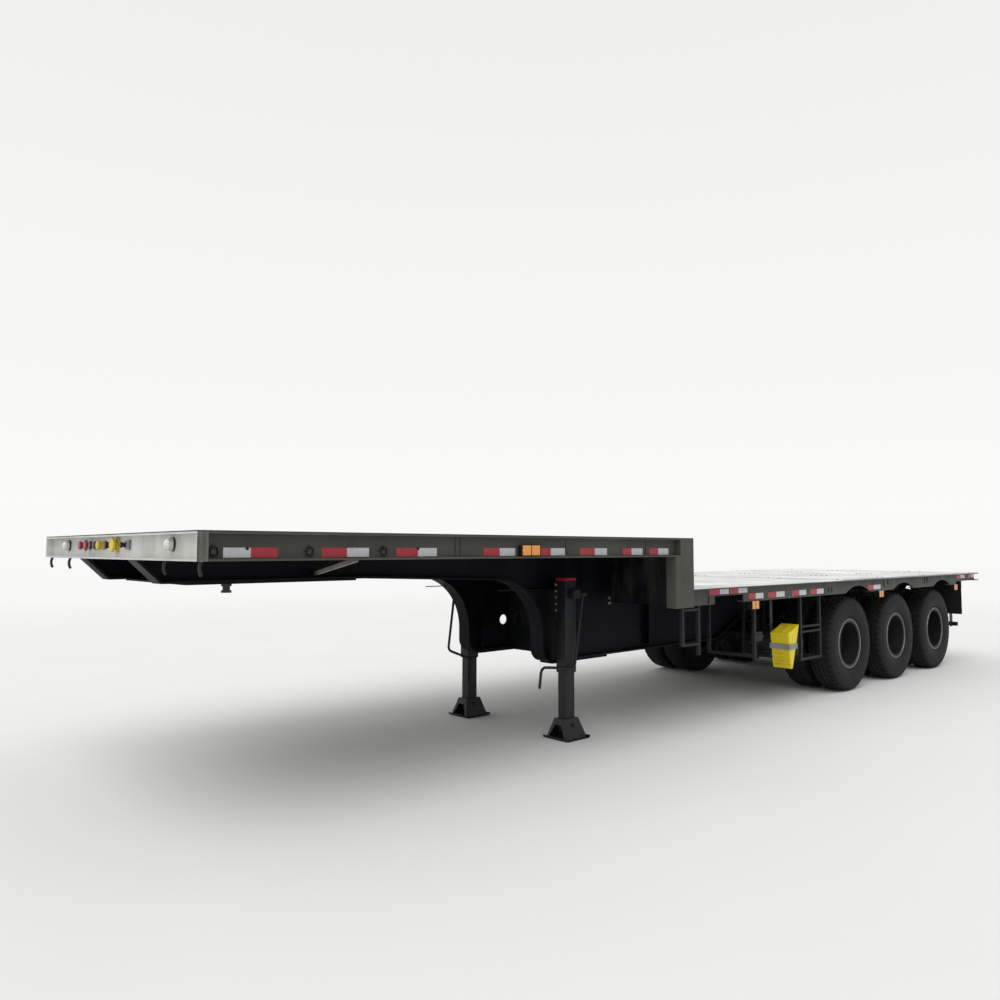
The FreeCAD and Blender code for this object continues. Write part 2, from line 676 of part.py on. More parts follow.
def wheel():
    rim_in = BEAD_RADIUS - 2
    bore = DISC_BORE
    plate = DISC_PLATE
    outer_disc = [(0, bore), (plate, bore), (plate, 190.0), (92, rim_in), (76, rim_in), (0, 196.0)]
    inner_disc = [(-y, r) for y, r in outer_disc]
    hub = [
        (-plate, HUB_BORE),
        (100.0, HUB_BORE),
        (100.0, HUB_CAP_RADIUS - 18),
        (134.0, HUB_CAP_RADIUS - 18),
        (134.0, 0.0),
        (HUB_CAP_REACH, 0.0),
        (HUB_CAP_REACH, HUB_CAP_RADIUS),
        (118.0, HUB_CAP_RADIUS + 12),
        (116.0, bore - 22),
        (60.0, bore - 14),
        (40.0, bore),
        (-plate, bore),
    ]
    flange_end = -plate - HUB_FLANGE
    back_flange = [
        (flange_end, HUB_BORE),
        (-plate, HUB_BORE),
        (-plate, HUB_FLANGE_RADIUS),
        (flange_end, HUB_FLANGE_RADIUS),
    ]
    sleeve = [(-120, HUB_BORE), (-plate, HUB_BORE), (-plate, 96.0), (-120, 90.0)]
    drum_end = flange_end - DRUM_LENGTH + 1
    drum = [
        (flange_end - 12, 100.0),
        (flange_end, 100.0),
        (flange_end, DRUM_RADIUS),
        (drum_end, DRUM_RADIUS),
        (drum_end, DRUM_RADIUS - DRUM_WALL),
        (flange_end - 12, DRUM_RADIUS - DRUM_WALL),
    ]
    pieces = [rim(OUTER_TYRE_Y), rim(INNER_TYRE_Y)]
    for profile in (outer_disc, inner_disc, hub, back_flange, sleeve, drum):
        pieces.append(turned(profile, MOUNT_Y))
    return fuse(pieces)


# Brake chamber seen along its axis from the push rod: (along, radius)
def chamber(back):
    radius = CHAMBER_RADIUS
    profile = [
        (0.0, 0.0),
        (0.0, radius - 26),
        (14.0, radius - 8),
        (66.0, radius - 8),
        (68.0, radius),
        (84.0, radius),
        (86.0, radius - 8),
        (CHAMBER_LENGTH - 22, radius - 8),
        (CHAMBER_LENGTH, radius - 34),
        (CHAMBER_LENGTH, 0.0),
    ]
    return turned_x(profile, back + 30, BEAM_Y - CHAMBER_INSET, TYRE_RADIUS + CHAMBER_RISE)


def axle(back):
    spider = MOUNT_Y - BRAKE_PLATE_INSET
    mid = TYRE_RADIUS
    chamber_y = BEAM_Y - CHAMBER_INSET
    chamber_z = mid + CHAMBER_RISE
    pad0 = BEAM_Y - SEAT_WIDTH / 2
    pad1 = BEAM_Y + SEAT_WIDTH / 2
    start = back - SEAT_LENGTH / 2
    end = back + SEAT_LENGTH / 2
    half = [
        rod_y(back, mid, AXLE_RADIUS, 0, spider),
        rod_y(back, mid, SPINDLE_RADIUS, spider, MOUNT_Y + 92),
        rod_y(back, mid, DRUM_RADIUS, spider - 18, spider - 18 + BRAKE_PLATE),
        rod_y(back, mid, SHOE_DISC_RADIUS, spider - 10, MOUNT_Y - 130),
        block(start, end, pad0, pad1, mid + 40, SPRING_SEAT_Z),
        block(start, end, pad0, pad1, mid - 88, mid - 66),
        rod_y(back + CAMSHAFT_BACK, mid + 20, CAMSHAFT_RADIUS, chamber_y - 50, spider - 14),
        block(back + 40, back + 160, chamber_y + 30, chamber_y + 46, mid - 60, mid + 60),
        block(back + 30, back + 48, chamber_y - 60, chamber_y + 60, mid + 20, chamber_z + 60),
        rod_x(back + 48, back + 120, chamber_y, chamber_z, 12.0),
        block(back + 112, back + 140, chamber_y - 15, chamber_y + 15, mid, chamber_z + 24),
        chamber(back),
    ]
    for near, far in BEARINGS:
        half.append(rod_y(back, mid, HUB_BORE - RUNNING_GAP, MOUNT_Y + near, MOUNT_Y + far))
    return fuse(half + [mirrored(one) for one in half])


def spring(back):
    low = BEAM_Y - SPRING_WIDTH / 2
    high = BEAM_Y + SPRING_WIDTH / 2
    pieces = []
    for index, leaf in enumerate(SPRING_LEAVES):
        half = SPRING_HALF * leaf
        top = SPRING_TOP_Z - index * SPRING_LEAF
        rise = SPRING_RISE * (half / SPRING_HALF) ** 2
        pieces.append(slab(outline([
            (back - half, top + rise),
            (back + half, top + rise, back, top),
            (back + half, top + rise - SPRING_LEAF),
            (back - half, top + rise - SPRING_LEAF, back, top - SPRING_LEAF),
        ]), low, high))
    return fuse(pieces)


# Hanger with the equalizer that the ends of two springs bear on
def hanger(back):
    spring_end = SPRING_END_Z
    bottom = spring_end - HANGER_DROP
    half = HANGER_LENGTH / 2
    spring_half = SPRING_WIDTH / 2
    pieces = []
    for y in (BEAM_Y - spring_half - HANGER_PLATE, BEAM_Y + spring_half):
        pieces.append(slab(outline([
            (back - half, SUSPENSION_BEAM_Z),
            (back - half + 70, bottom),
            (back + half - 70, bottom),
            (back + half, SUSPENSION_BEAM_Z),
        ]), y, y + HANGER_PLATE))
    reach = spring_half + HANGER_PLATE + 13
    pieces.append(rod_y(back, spring_end + 20, 20.0, BEAM_Y - reach, BEAM_Y + reach))
    pieces.append(rod_y(back, bottom + 32, 16.0, BEAM_Y - reach, BEAM_Y + reach))
    pieces.append(slab(outline([
        (back - half + 5, spring_end),
        (back + half - 5, spring_end),
        (back + half - 5, spring_end + 18),
        (back + 40, spring_end + 44),
        (back - 40, spring_end + 44),
        (back - half + 5, spring_end + 18),
    ]), BEAM_Y - spring_half, BEAM_Y + spring_half))
    return fuse(pieces)


def air_tank():
    inner = HALF_WIDTH - TANK_INSET - TANK_LENGTH
    outer = HALF_WIDTH - TANK_INSET
    shoulder = TANK_RADIUS * 0.78
    dome = TANK_DOME * 0.35
    tank = turned([
        (inner, 0.0),
        (inner + dome, shoulder),
        (inner + TANK_DOME, TANK_RADIUS),
        (outer - TANK_DOME, TANK_RADIUS),
        (outer - dome, shoulder),
        (outer, 0.0),
    ], 0.0)
    tank.translate(FreeCAD.Vector(fx(TANK_BACK), 0, LOWER_DECK_Z - TANK_FRAME_DROP + TANK_RISE))
    return tank


def tank_frame():
    bar = RACK_BAR
    start = TANK_FRAME_START
    end = TANK_FRAME_END
    face = HALF_WIDTH - TANK_FRAME_INSET
    outer = face - bar
    inner = HALF_WIDTH - TANK_INSET - TANK_LENGTH - 2 * bar
    bottom = LOWER_DECK_Z - TANK_FRAME_DROP
    pieces = []
    for back in (start, end - bar):
        for y in (inner, outer):
            pieces.append(block(back, back + bar, y, y + bar, bottom, CROSS_BOTTOM_Z))
        pieces.append(block(back, back + bar, inner, face, bottom, bottom + bar))
    pieces.append(block(start, end, outer, face, bottom, bottom + bar))
    for rise in TANK_SHELVES:
        pieces.append(block(start, end, outer, face, bottom + rise, bottom + rise + RACK_RAIL))
    hollow = rod_y(TANK_BACK, bottom + TANK_RISE, TANK_RADIUS + CURVED_GAP, 0, BIG)
    tank_inner = inner + 2 * bar
    tank_outer = tank_inner + TANK_LENGTH
    for y in (tank_inner + TANK_SADDLE_INSET, tank_outer - TANK_SADDLE_INSET - bar):
        pieces.append(block(start, end, y, y + bar, bottom, bottom + 2 * bar).cut(hollow))
    return fuse(pieces)


def post_frame():
    bar = RACK_BAR
    inner = HALF_WIDTH - POST_WIDTH
    start = STEP - POST_FRAME_AHEAD
    end = start + POST_FRAME_LENGTH
    low = POST_BOTTOM_Z - POST_FRAME_DROP
    return fuse([
        block(start, start + bar, inner, inner + bar, low, POST_BOTTOM_Z),
        block(end - bar, end, inner, inner + bar, low - POST_FRAME_LEG, LOWER_RAIL_Z),
        block(start, end, inner, inner + bar, low, low + RACK_RAIL),
        block(start, end, inner, inner + bar, POST_BOTTOM_Z - 2 * RACK_RAIL, POST_BOTTOM_Z - RACK_RAIL),
    ])


def hose_rack():
    bar = RACK_BAR
    inner = HALF_WIDTH - HOSE_BAR_INNER_INSET
    outer = HALF_WIDTH - HOSE_BAR_INSET
    back = HOSE_BACK + bar
    end = back + bar
    low = LOWER_DECK_Z - HOSE_BAR_DROP
    valve = low + VALVE_RISE
    half = VALVE_HEIGHT / 2
    return fuse([
        block(back, end, inner, inner + bar, low - bar, CROSS_BOTTOM_Z),
        block(back, end, inner, outer, low - bar, low),
        block(back, end, outer - bar, outer, low - HOSE_STUB, CROSS_BOTTOM_Z),
        block(end + VALVE_GAP, end + VALVE_GAP + VALVE_LENGTH, outer - 2 * bar, outer - bar, valve - half, valve + half),
        block(back, end + VALVE_GAP + VALVE_LENGTH, outer - bar, outer - bar / 2, valve - bar / 2, valve + bar / 2),
    ])


# Wedge profile: places behind the chock's front edge and heights above its tip
CHOCK_PROFILE = [(0.0, 360.0), (45.0, 0.0), (80.0, 0.0), (225.0, 440.0)]
CHOCK_GROOVES = [35.0, 70.0, 105.0, 140.0]


def chock():
    inner = HALF_WIDTH - CHOCK_INSET - CHOCK_WIDTH
    points = [(CHOCK_BACK + along, CHOCK_Z + rise) for along, rise in CHOCK_PROFILE]
    wedge = slab(outline(points), inner, inner + CHOCK_WIDTH)
    slot = slab(outline([
        (points[0][0] + 40, points[0][1] + 14.2 - CHOCK_SLOT_DEPTH),
        (points[3][0] - 30, points[3][1] - 10.7 - CHOCK_SLOT_DEPTH),
        (points[3][0] - 30, points[3][1] + 40),
        (points[0][0] + 40, points[0][1] + 60),
    ]), inner, inner + 50)
    for step_in in (30.0, 120.0):
        cut = slot.copy()
        cut.translate(FreeCAD.Vector(0, step_in, 0))
        wedge = wedge.cut(cut)
    for rise in CHOCK_GROOVES:
        z = CHOCK_Z + rise
        back = CHOCK_BACK + CHOCK_PROFILE[1][0] * (1 - rise / CHOCK_PROFILE[0][1])
        wedge = wedge.cut(block(back - 20, back + 6, inner + 20, inner + CHOCK_WIDTH - 20, z, z + 12))
    return wedge


def chock_holder(wedge):
    inner = HALF_WIDTH - CHOCK_INSET - CHOCK_WIDTH
    wall = CHOCK_BAND_WALL
    low = CHOCK_Z + CHOCK_BAND_RISE
    band = block(CHOCK_BACK + 14 - wall, CHOCK_BACK + 164 + wall, inner - wall, inner + CHOCK_WIDTH + wall,
                 low, low + CHOCK_BAND_HEIGHT)
    strap = block(CHOCK_BACK + 10, CHOCK_BACK + 60, inner - 2 * wall, inner - wall, low, CROSS_BOTTOM_Z)
    return fuse([band.cut(wedge), strap])


def landing_leg():
    half_s = LEG_LENGTH / 2
    wall = LEG_WALL
    front = LEG_BACK - half_s
    rear = LEG_BACK + half_s
    box = block(front, rear, LEG_INNER_Y, LEG_OUTER_Y, LEG_BOTTOM_Z, LEG_TOP_Z)
    bore = block(front + wall, rear - wall, LEG_INNER_Y + wall, LEG_OUTER_Y - wall, 0, LEG_TOP_Z - wall)
    point = slab(outline([
        (front, LEG_BOTTOM_Z),
        (LEG_BACK - 22, LEG_BOTTOM_Z - LEG_POINT_DROP),
        (LEG_BACK + 22, LEG_BOTTOM_Z - LEG_POINT_DROP),
        (rear, LEG_BOTTOM_Z),
    ]), LEG_INNER_Y, LEG_OUTER_Y)
    lip = LEG_CAP_LIP
    cap = block(front - lip, rear + lip, LEG_INNER_Y - lip, LEG_OUTER_Y + lip, LEG_TOP_Z,
                LEG_TOP_Z + LEG_CAP)
    plate_y = LEG_INNER_Y - LEG_PLATE
    flange_top = WELL_BOTTOM_Z + BEAM_FLANGE
    shelf_bottom = NECK_SHELF_Z - STIFFENER
    low = LEG_TOP_Z - LEG_MOUNT_HEIGHT
    reach = LEG_LENGTH / 2 + LEG_MOUNT_REACH
    pieces = [
        fuse([box, point]).cut(bore),
        cap,
        block(LEG_BACK - reach, LEG_BACK + reach + 26, plate_y, LEG_INNER_Y, low, LEG_TOP_Z - 10),
        block(LEG_BACK - reach, LEG_BACK - reach + LEG_PLATE, WEB_OUTER_Y, plate_y, flange_top, shelf_bottom),
        block(LEG_BACK + reach, LEG_BACK + reach + LEG_PLATE, WEB_OUTER_Y, plate_y, low + 10, LEG_TOP_Z - 20),
    ]
    return fuse(pieces)


def leg_gear():
    shaft_y = LEG_OUTER_Y + GEAR_SHAFT_OUT
    half = GEAR_BOX / 2
    rear = LEG_BACK + LEG_LENGTH / 2
    box = block(LEG_BACK - 20, rear, LEG_OUTER_Y, shaft_y + 20, GEAR_SHAFT_Z - half, GEAR_SHAFT_Z + half)
    return fuse([box, rod_x(rear, rear + GEAR_SHAFT_LENGTH, shaft_y, GEAR_SHAFT_Z, GEAR_SHAFT_RADIUS)])


def crank_joint():
    start = LEG_BACK + LEG_LENGTH / 2 + GEAR_SHAFT_LENGTH
    end = start + CRANK_JOINT_LENGTH
    return rod_x(start, end, LEG_OUTER_Y + GEAR_SHAFT_OUT, GEAR_SHAFT_Z, CRANK_JOINT_RADIUS)


# Crank rods: places behind the leg's middle, outwards from its outer face, and above the well's bottom
CRANK_LEFT = [
    (118.0, 36.0, 585.0),
    (8.0, 36.0, -46.0),
    (-392.0, 36.0, 0.0),
    (-417.0, 36.0, -172.0),
]
CRANK_RIGHT = [
    (-118.0, 36.0, 585.0),
    (-197.0, 36.0, -10.0),
    (-105.0, -116.0, -68.0),
    (-25.0, -141.0, -94.0),
    (-25.0, -141.0, -320.0),
]


def crank_rod(points, side):
    path = [(LEG_BACK + behind, side * (LEG_OUTER_Y + out), WELL_BOTTOM_Z + rise) for behind, out, rise in points]
    return bent_bar(path, CRANK_BEND, CRANK_RADIUS)


# Four-sided funnel between two centred rectangles
def frustum(length0, width0, z0, length1, width1, z1):
    wires = []
    for length, width, z in ((length0, width0, z0), (length1, width1, z1)):
        corners = [(-length, -width), (length, -width), (length, width), (-length, width), (-length, -width)]
        wires.append(Part.makePolygon([
            FreeCAD.Vector(fx(LEG_BACK) + x / 2, LEG_Y + y / 2, z) for x, y in corners]))
    return Part.makeLoft(wires, True, True)


def landing_foot():
    wall = SHOE_WALL
    gap = LEG_WALL + LEG_SLIDE_GAP
    half_s = LEG_LENGTH / 2 - gap
    half_y = LEG_WIDTH / 2 - gap
    thin = INNER_LEG_WALL
    top = LEG_BOTTOM_Z + INNER_LEG_OVERLAP
    leg = block(LEG_BACK - half_s, LEG_BACK + half_s, LEG_Y - half_y, LEG_Y + half_y, INNER_LEG_BOTTOM_Z, top)
    half_s = half_s - thin
    half_y = half_y - thin
    hollow = block(LEG_BACK - half_s, LEG_BACK + half_s, LEG_Y - half_y, LEG_Y + half_y, 0, top - thin)
    outer = frustum(SHOE_FOOT_LENGTH, SHOE_FOOT_WIDTH, 0, SHOE_TOP_LENGTH, SHOE_TOP_WIDTH, SHOE_TOP_Z)
    inner = frustum(SHOE_FOOT_LENGTH - 2 * wall, SHOE_FOOT_WIDTH - 2 * wall, 0,
                    SHOE_TOP_LENGTH - 2 * wall, SHOE_TOP_WIDTH - 2 * wall, SHOE_TOP_Z - wall)
    window = frustum(BIG, SHOE_FOOT_WIDTH - 6 * wall, wall, BIG, SHOE_TOP_WIDTH - 6 * wall, SHOE_PIN_Z)
    shell = outer.cut(inner).cut(window)
    half = SHOE_BASE / 2
    curl = SHOE_CURL
    low = curl * (1 - math.sqrt(0.5))
    high = wall + (curl - wall) * (1 - math.sqrt(0.5))
    base = slab(outline([
        (LEG_BACK - half, curl),
        (LEG_BACK - half + curl, 0.0, LEG_BACK - half + low, low),
        (LEG_BACK + half - curl, 0.0),
        (LEG_BACK + half, curl, LEG_BACK + half - low, low),
        (LEG_BACK + half - wall, curl),
        (LEG_BACK + half - curl, wall, LEG_BACK + half - high, high),
        (LEG_BACK - half + curl, wall),
        (LEG_BACK - half + wall, curl, LEG_BACK - half + high, high),
    ]), LEG_Y - half, LEG_Y + half)
    pin_half = (SHOE_FOOT_WIDTH + SHOE_TOP_WIDTH) / 4 + 6
    pin = rod_y(LEG_BACK, SHOE_PIN_Z, SHOE_PIN_RADIUS, LEG_Y - pin_half, LEG_Y + pin_half)
    return fuse([leg.cut(hollow), shell, base, pin])


# Lamps under the lower rails, by place behind the step or ahead of the rear end
def side_lamps():
    web = RAIL_FACE_Y
    deep = STEP + SHALLOW_RAIL_FROM_STEP + SHALLOW_RAIL_LENGTH
    between = FIRST_AXLE + SIDE_LAMP_FROM_AXLE
    half = SIDE_LAMP_LENGTH / 2
    upper = STEP - UPPER_LAMP_FROM_STEP
    low = UPPER_RAIL_Z + RAIL_FLANGE + UPPER_LAMP_GAP
    pieces = [block(upper, upper + UPPER_LAMP_LENGTH, web, web + UPPER_LAMP_DEPTH, low, low + UPPER_LAMP_HEIGHT)]
    for back in (deep + SIDE_LAMP_FROM_DEEP + half, between + half, LENGTH - TAIL_RAIL_LENGTH - half):
        pieces.append(block(back - half, back + half, web + SIDE_LAMP_OUT - SIDE_LAMP_DEPTH,
                            web + SIDE_LAMP_OUT, LOWER_RAIL_Z - SIDE_LAMP_HEIGHT, LOWER_RAIL_Z))
    return pieces


def mudflap():
    back = LENGTH - FLAP_FROM_REAR
    inner = INNER_TYRE_Y - TYRE_WIDTH / 2
    top = LOWER_DECK_Z - FLAP_TOP_DROP
    bracket = block(back - FLAP_BRACKET, back, inner, RAIL_WEB_Y, top - 40, TAIL_RAIL_Z)
    flap = block(back, back + FLAP_THICKNESS, inner + 4, RAIL_WEB_Y - 6, top - FLAP_HEIGHT, top)
    return fuse([bracket, flap])


def rear_guard():
    back = LENGTH - GUARD_FROM_REAR
    reach = HALF_WIDTH - GUARD_INSET
    pieces = [rod_y(back, GUARD_Z, GUARD_RADIUS, -reach, reach)]
    start = back - 100
    for side in (-1, 1):
        y = sorted([side * (reach - GUARD_OVERHANG), side * (reach - GUARD_OVERHANG + GUARD_POST)])
        pieces.append(block(start, start + GUARD_POST_LENGTH, y[0], y[1], GUARD_Z - GUARD_RADIUS - 5,
                            TAIL_RAIL_Z + RAIL_FLANGE))
    return fuse(pieces)


def front_lamp():
    radius = FRONT_LAMP_RADIUS
    lens = FRONT_LAMP_LENS_RADIUS
    profile = [
        (0.0, 0.0),
        (0.0, radius),
        (10.0, radius),
        (12.0, lens),
        (34.0, lens),
        (46.0, lens - 12),
        (FRONT_RAIL_RECESS, 0.0),
    ]
    return turned_x(profile, FRONT_RAIL_RECESS, HALF_WIDTH - FRONT_LAMP_INSET, COUPLING_Z)


def tail_lamp():
    middle = HALF_WIDTH - TAIL_LAMP_INSET
    half = TAIL_LAMP_LENGTH / 2
    low = (TAIL_RAIL_Z + LOWER_PLATE_Z - TAIL_LAMP_HEIGHT) / 2
    return block(REAR_WEB_END, REAR_WEB_END + TAIL_LAMP_DEPTH, middle - half, middle + half, low,
                 low + TAIL_LAMP_HEIGHT)


# Couplings along the front rail: place across, radius of the foot, of the body and of the end, and reach
COUPLINGS = [
    (-620.0, 38.0, 22.0, 30.0, 46.0),
    (-515.0, 30.0, 20.0, 34.0, 40.0),
    (-380.0, 30.0, 20.0, 26.0, 46.0),
    (-300.0, 28.0, 18.0, 24.0, 44.0),
    (-210.0, 34.0, 22.0, 28.0, 46.0),
    (-43.0, 30.0, 20.0, 26.0, 46.0),
    (77.0, 48.0, 30.0, 45.0, 42.0),
    (246.0, 26.0, 14.0, 18.0, 40.0),
]
SOCKET_PLATE = (282.0, 332.0, 60.0, 14.0)


def couplings():
    pieces = []
    for y, foot, body, end, reach in COUPLINGS:
        profile = [(0.0, 0.0), (0.0, foot), (6.0, foot), (8.0, body), (reach - 16, body), (reach - 14, end),
                   (reach - 3, end), (reach, end - 4), (reach, 0.0)]
        pieces.append(turned_x(profile, FRONT_RAIL_RECESS, y, COUPLING_Z))
    y0, y1, height, depth = SOCKET_PLATE
    pieces.append(block(FRONT_RAIL_RECESS - depth, FRONT_RAIL_RECESS, y0, y1, COUPLING_Z - height / 2,
                        COUPLING_Z + height / 2))
    return pieces


os.makedirs("parts", exist_ok=True)

beam = main_beam()
save(beam, "main_beam_left")
save(mirrored(beam), "main_beam_right")
save(coupler(), "coupler_plate")
save(kingpin(), "kingpin")
save(front_rail(), "front_rail")
save(both([upper_side_rail()]), "upper_side_rails")
save(block(0, STEP, -HALF_WIDTH, HALF_WIDTH, UPPER_PLATE_Z, UPPER_DECK_Z), "upper_deck_plate")
brace = knee_brace()
save(group(upper_crosses() + [heel_plate(), brace, mirrored(brace)]), "upper_crossmembers")
save(step_bulkhead(), "step_bulkhead")
rail = lower_side_rail()
save(rail, "lower_side_rail_left")
save(mirrored(rail), "lower_side_rail_right")
save(block(LOWER_DECK_START, LENGTH, -HALF_WIDTH, HALF_WIDTH, LOWER_PLATE_Z, LOWER_DECK_Z), "lower_deck_plate")
crosses = [crossmember(back, bottom, LOWER_PLATE_Z) for back, bottom in lower_crosses()]
save(group(crosses), "lower_crossmembers")
save(rear_rail(), "rear_rail")

leg = landing_leg()
gear = leg_gear()
save(fuse([leg, gear]), "landing_leg_left")
save(fuse([mirrored(leg), half_turned(gear, LEG_BACK)]), "landing_leg_right")
foot = landing_foot()
save(foot, "landing_foot_left")
save(mirrored(foot), "landing_foot_right")
joint = crank_joint()
left_crank = fuse([joint, crank_rod(CRANK_LEFT, 1)])
right_crank = fuse([half_turned(joint, LEG_BACK), crank_rod(CRANK_RIGHT, -1)])
save(group([left_crank, right_crank]), "leg_cranks")

for back, node in zip(AXLES, ("axle_front", "axle_middle", "axle_rear")):
    save(axle(back), node)
save(both([spring(back) for back in AXLES]), "leaf_springs")
hanger_places = [FIRST_AXLE + (index - 0.5) * AXLE_SPACING for index in range(len(AXLES) + 1)]
save(both([hanger(back) for back in hanger_places]), "spring_hangers")

wedge = chock()
save(both([air_tank()]), "air_tanks")
save(both([tank_frame(), post_frame(), hose_rack(), chock_holder(wedge)]), "side_racks")
save(both([wedge]), "wheel_chocks")
save(group(couplings()), "service_couplings")
save(both(side_lamps()), "side_lamps")
save(both([front_lamp()]), "front_lamps")
save(both([tail_lamp()]), "tail_lamps")
save(both([mudflap()]), "mudflaps")
save(rear_guard(), "rear_guard")

pair = group([tyre(OUTER_TYRE_Y), tyre(INNER_TYRE_Y)])
twin_wheel = wheel()
for back, place in zip(AXLES, ("front", "middle", "rear")):
    for shape, kind in ((pair, "tyres_"), (twin_wheel, "wheels_")):
        here = shape.copy()
        here.translate(FreeCAD.Vector(fx(back), 0, TYRE_RADIUS))
        save(here, kind + place + "_left")
        save(mirrored(here), kind + place + "_right")
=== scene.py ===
import bpy
import bmesh
import math
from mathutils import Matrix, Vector


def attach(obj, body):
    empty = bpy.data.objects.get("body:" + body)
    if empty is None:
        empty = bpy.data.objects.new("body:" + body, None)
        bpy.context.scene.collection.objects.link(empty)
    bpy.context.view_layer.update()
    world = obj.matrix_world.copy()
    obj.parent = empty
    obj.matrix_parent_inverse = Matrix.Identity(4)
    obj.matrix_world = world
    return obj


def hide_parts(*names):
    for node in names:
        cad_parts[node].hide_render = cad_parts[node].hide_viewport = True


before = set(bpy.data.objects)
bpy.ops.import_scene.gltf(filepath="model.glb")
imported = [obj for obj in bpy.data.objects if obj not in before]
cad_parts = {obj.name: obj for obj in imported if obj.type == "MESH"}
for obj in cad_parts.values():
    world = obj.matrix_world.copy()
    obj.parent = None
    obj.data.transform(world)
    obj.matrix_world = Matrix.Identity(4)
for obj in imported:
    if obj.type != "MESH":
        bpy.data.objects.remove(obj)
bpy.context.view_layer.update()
# Metres throughout. Places along the trailer are given as distances behind its front edge
LENGTH = 11.55
HALF = LENGTH / 2
SIDES = (("left", 1), ("right", -1))


# Materials
def new_material(name):
    mat = bpy.data.materials.new(name)
    mat.use_nodes = True
    nt = mat.node_tree
    bsdf = nt.nodes["Principled BSDF"]
    return mat, nt, bsdf


def node(nt, kind, **values):
    made = nt.nodes.new(kind)
    for key, value in values.items():
        setattr(made, key, value)
    return made


def coords(nt):
    return node(nt, "ShaderNodeTexCoord").outputs["Object"]


def noise(nt, vector, scale, detail=4.0, rough=0.6, stretch=None):
    if stretch:
        mapping = node(nt, "ShaderNodeMapping")
        mapping.inputs["Scale"].default_value = stretch
        nt.links.new(vector, mapping.inputs["Vector"])
        vector = mapping.outputs["Vector"]
    tex = node(nt, "ShaderNodeTexNoise")
    tex.inputs["Scale"].default_value = scale
    tex.inputs["Detail"].default_value = detail
    tex.inputs["Roughness"].default_value = rough
    nt.links.new(vector, tex.inputs["Vector"])
    return tex.outputs["Fac"]


def ramp(nt, fac, stops):
    made = node(nt, "ShaderNodeValToRGB")
    band = made.color_ramp
    while len(band.elements) < len(stops):
        band.elements.new(0.5)
    for element, (place, value) in zip(band.elements, stops):
        element.position = place
        if isinstance(value, (int, float)):
            value = (value, value, value)
        element.color = (*value, 1.0)
    nt.links.new(fac, made.inputs["Fac"])
    return made.outputs["Color"]


def mix(nt, fac, a, b):
    made = node(nt, "ShaderNodeMix", data_type="RGBA")
    for socket, value in ((made.inputs[0], fac), (made.inputs[6], a), (made.inputs[7], b)):
        if isinstance(value, bpy.types.NodeSocket):
            nt.links.new(value, socket)
        elif isinstance(value, (int, float)):
            socket.default_value = value
        else:
            socket.default_value = (*value, 1.0)
    return made.outputs[2]


def maths(nt, operation, a, b=0.0, clamp=False):
    made = node(nt, "ShaderNodeMath", operation=operation, use_clamp=clamp)
    for socket, value in zip(made.inputs, (a, b)):
        if isinstance(value, bpy.types.NodeSocket):
            nt.links.new(value, socket)
        else:
            socket.default_value = value
    return made.outputs[0]


def bump(nt, bsdf, height, distance):
    made = node(nt, "ShaderNodeBump")
    made.inputs["Distance"].default_value = distance
    made.inputs["Strength"].default_value = 1.0
    nt.links.new(height, made.inputs["Height"])
    nt.links.new(made.outputs["Normal"], bsdf.inputs["Normal"])


def srgb(r, g, b):
    def lin(v):
        v = v / 255.0
        return v / 12.92 if v <= 0.04045 else ((v + 0.055) / 1.055) ** 2.4
    return (lin(r), lin(g), lin(b))


def inside(nt, place, limits):
    """Mask that is 1 within the limits, each (axis, low, high). Y counts alike on both sides."""
    split = node(nt, "ShaderNodeSeparateXYZ")
    nt.links.new(place, split.inputs[0])
    mask = None
    for axis, low, high in limits:
        value = split.outputs[axis]
        if axis == "Y":
            value = maths(nt, "ABSOLUTE", value)
        for operation, edge in (("GREATER_THAN", low), ("LESS_THAN", high)):
            part = maths(nt, operation, value, edge)
            mask = part if mask is None else maths(nt, "MULTIPLY", mask, part)
    return mask


CHEQUER_PITCH = 0.045
CHEQUER_BAR_REACH = 0.42
CHEQUER_BAR_SLOPE = 7.0
CHEQUER_HEIGHT = 0.0022


def chequer_bars(nt, place):
    """Raised bars of chequer plate: short bars that change direction from cell to cell."""
    split = node(nt, "ShaderNodeSeparateXYZ")
    nt.links.new(place, split.inputs[0])
    scaled = [maths(nt, "DIVIDE", split.outputs[axis], CHEQUER_PITCH) for axis in ("X", "Y")]
    cell = maths(nt, "ADD", *[maths(nt, "FLOOR", one) for one in scaled])
    odd = maths(nt, "FLOORED_MODULO", cell, 2.0)
    across = []
    for one in scaled:
        offset = maths(nt, "SUBTRACT", maths(nt, "FRACT", one), 0.5)
        across.append(maths(nt, "ABSOLUTE", offset))
    bars = []
    for along, over in ((0, 1), (1, 0)):
        reach = maths(nt, "LESS_THAN", across[along], CHEQUER_BAR_REACH)
        slope = maths(nt, "MULTIPLY", across[over], CHEQUER_BAR_SLOPE)
        width = maths(nt, "SUBTRACT", 1.0, slope, clamp=True)
        bars.append(maths(nt, "MULTIPLY", reach, width))
    flip = maths(nt, "SUBTRACT", 1.0, odd)
    odd_bars = maths(nt, "MULTIPLY", bars[0], odd)
    return maths(nt, "ADD", odd_bars, maths(nt, "MULTIPLY", bars[1], flip))


GRIT_HEIGHT = 0.0006


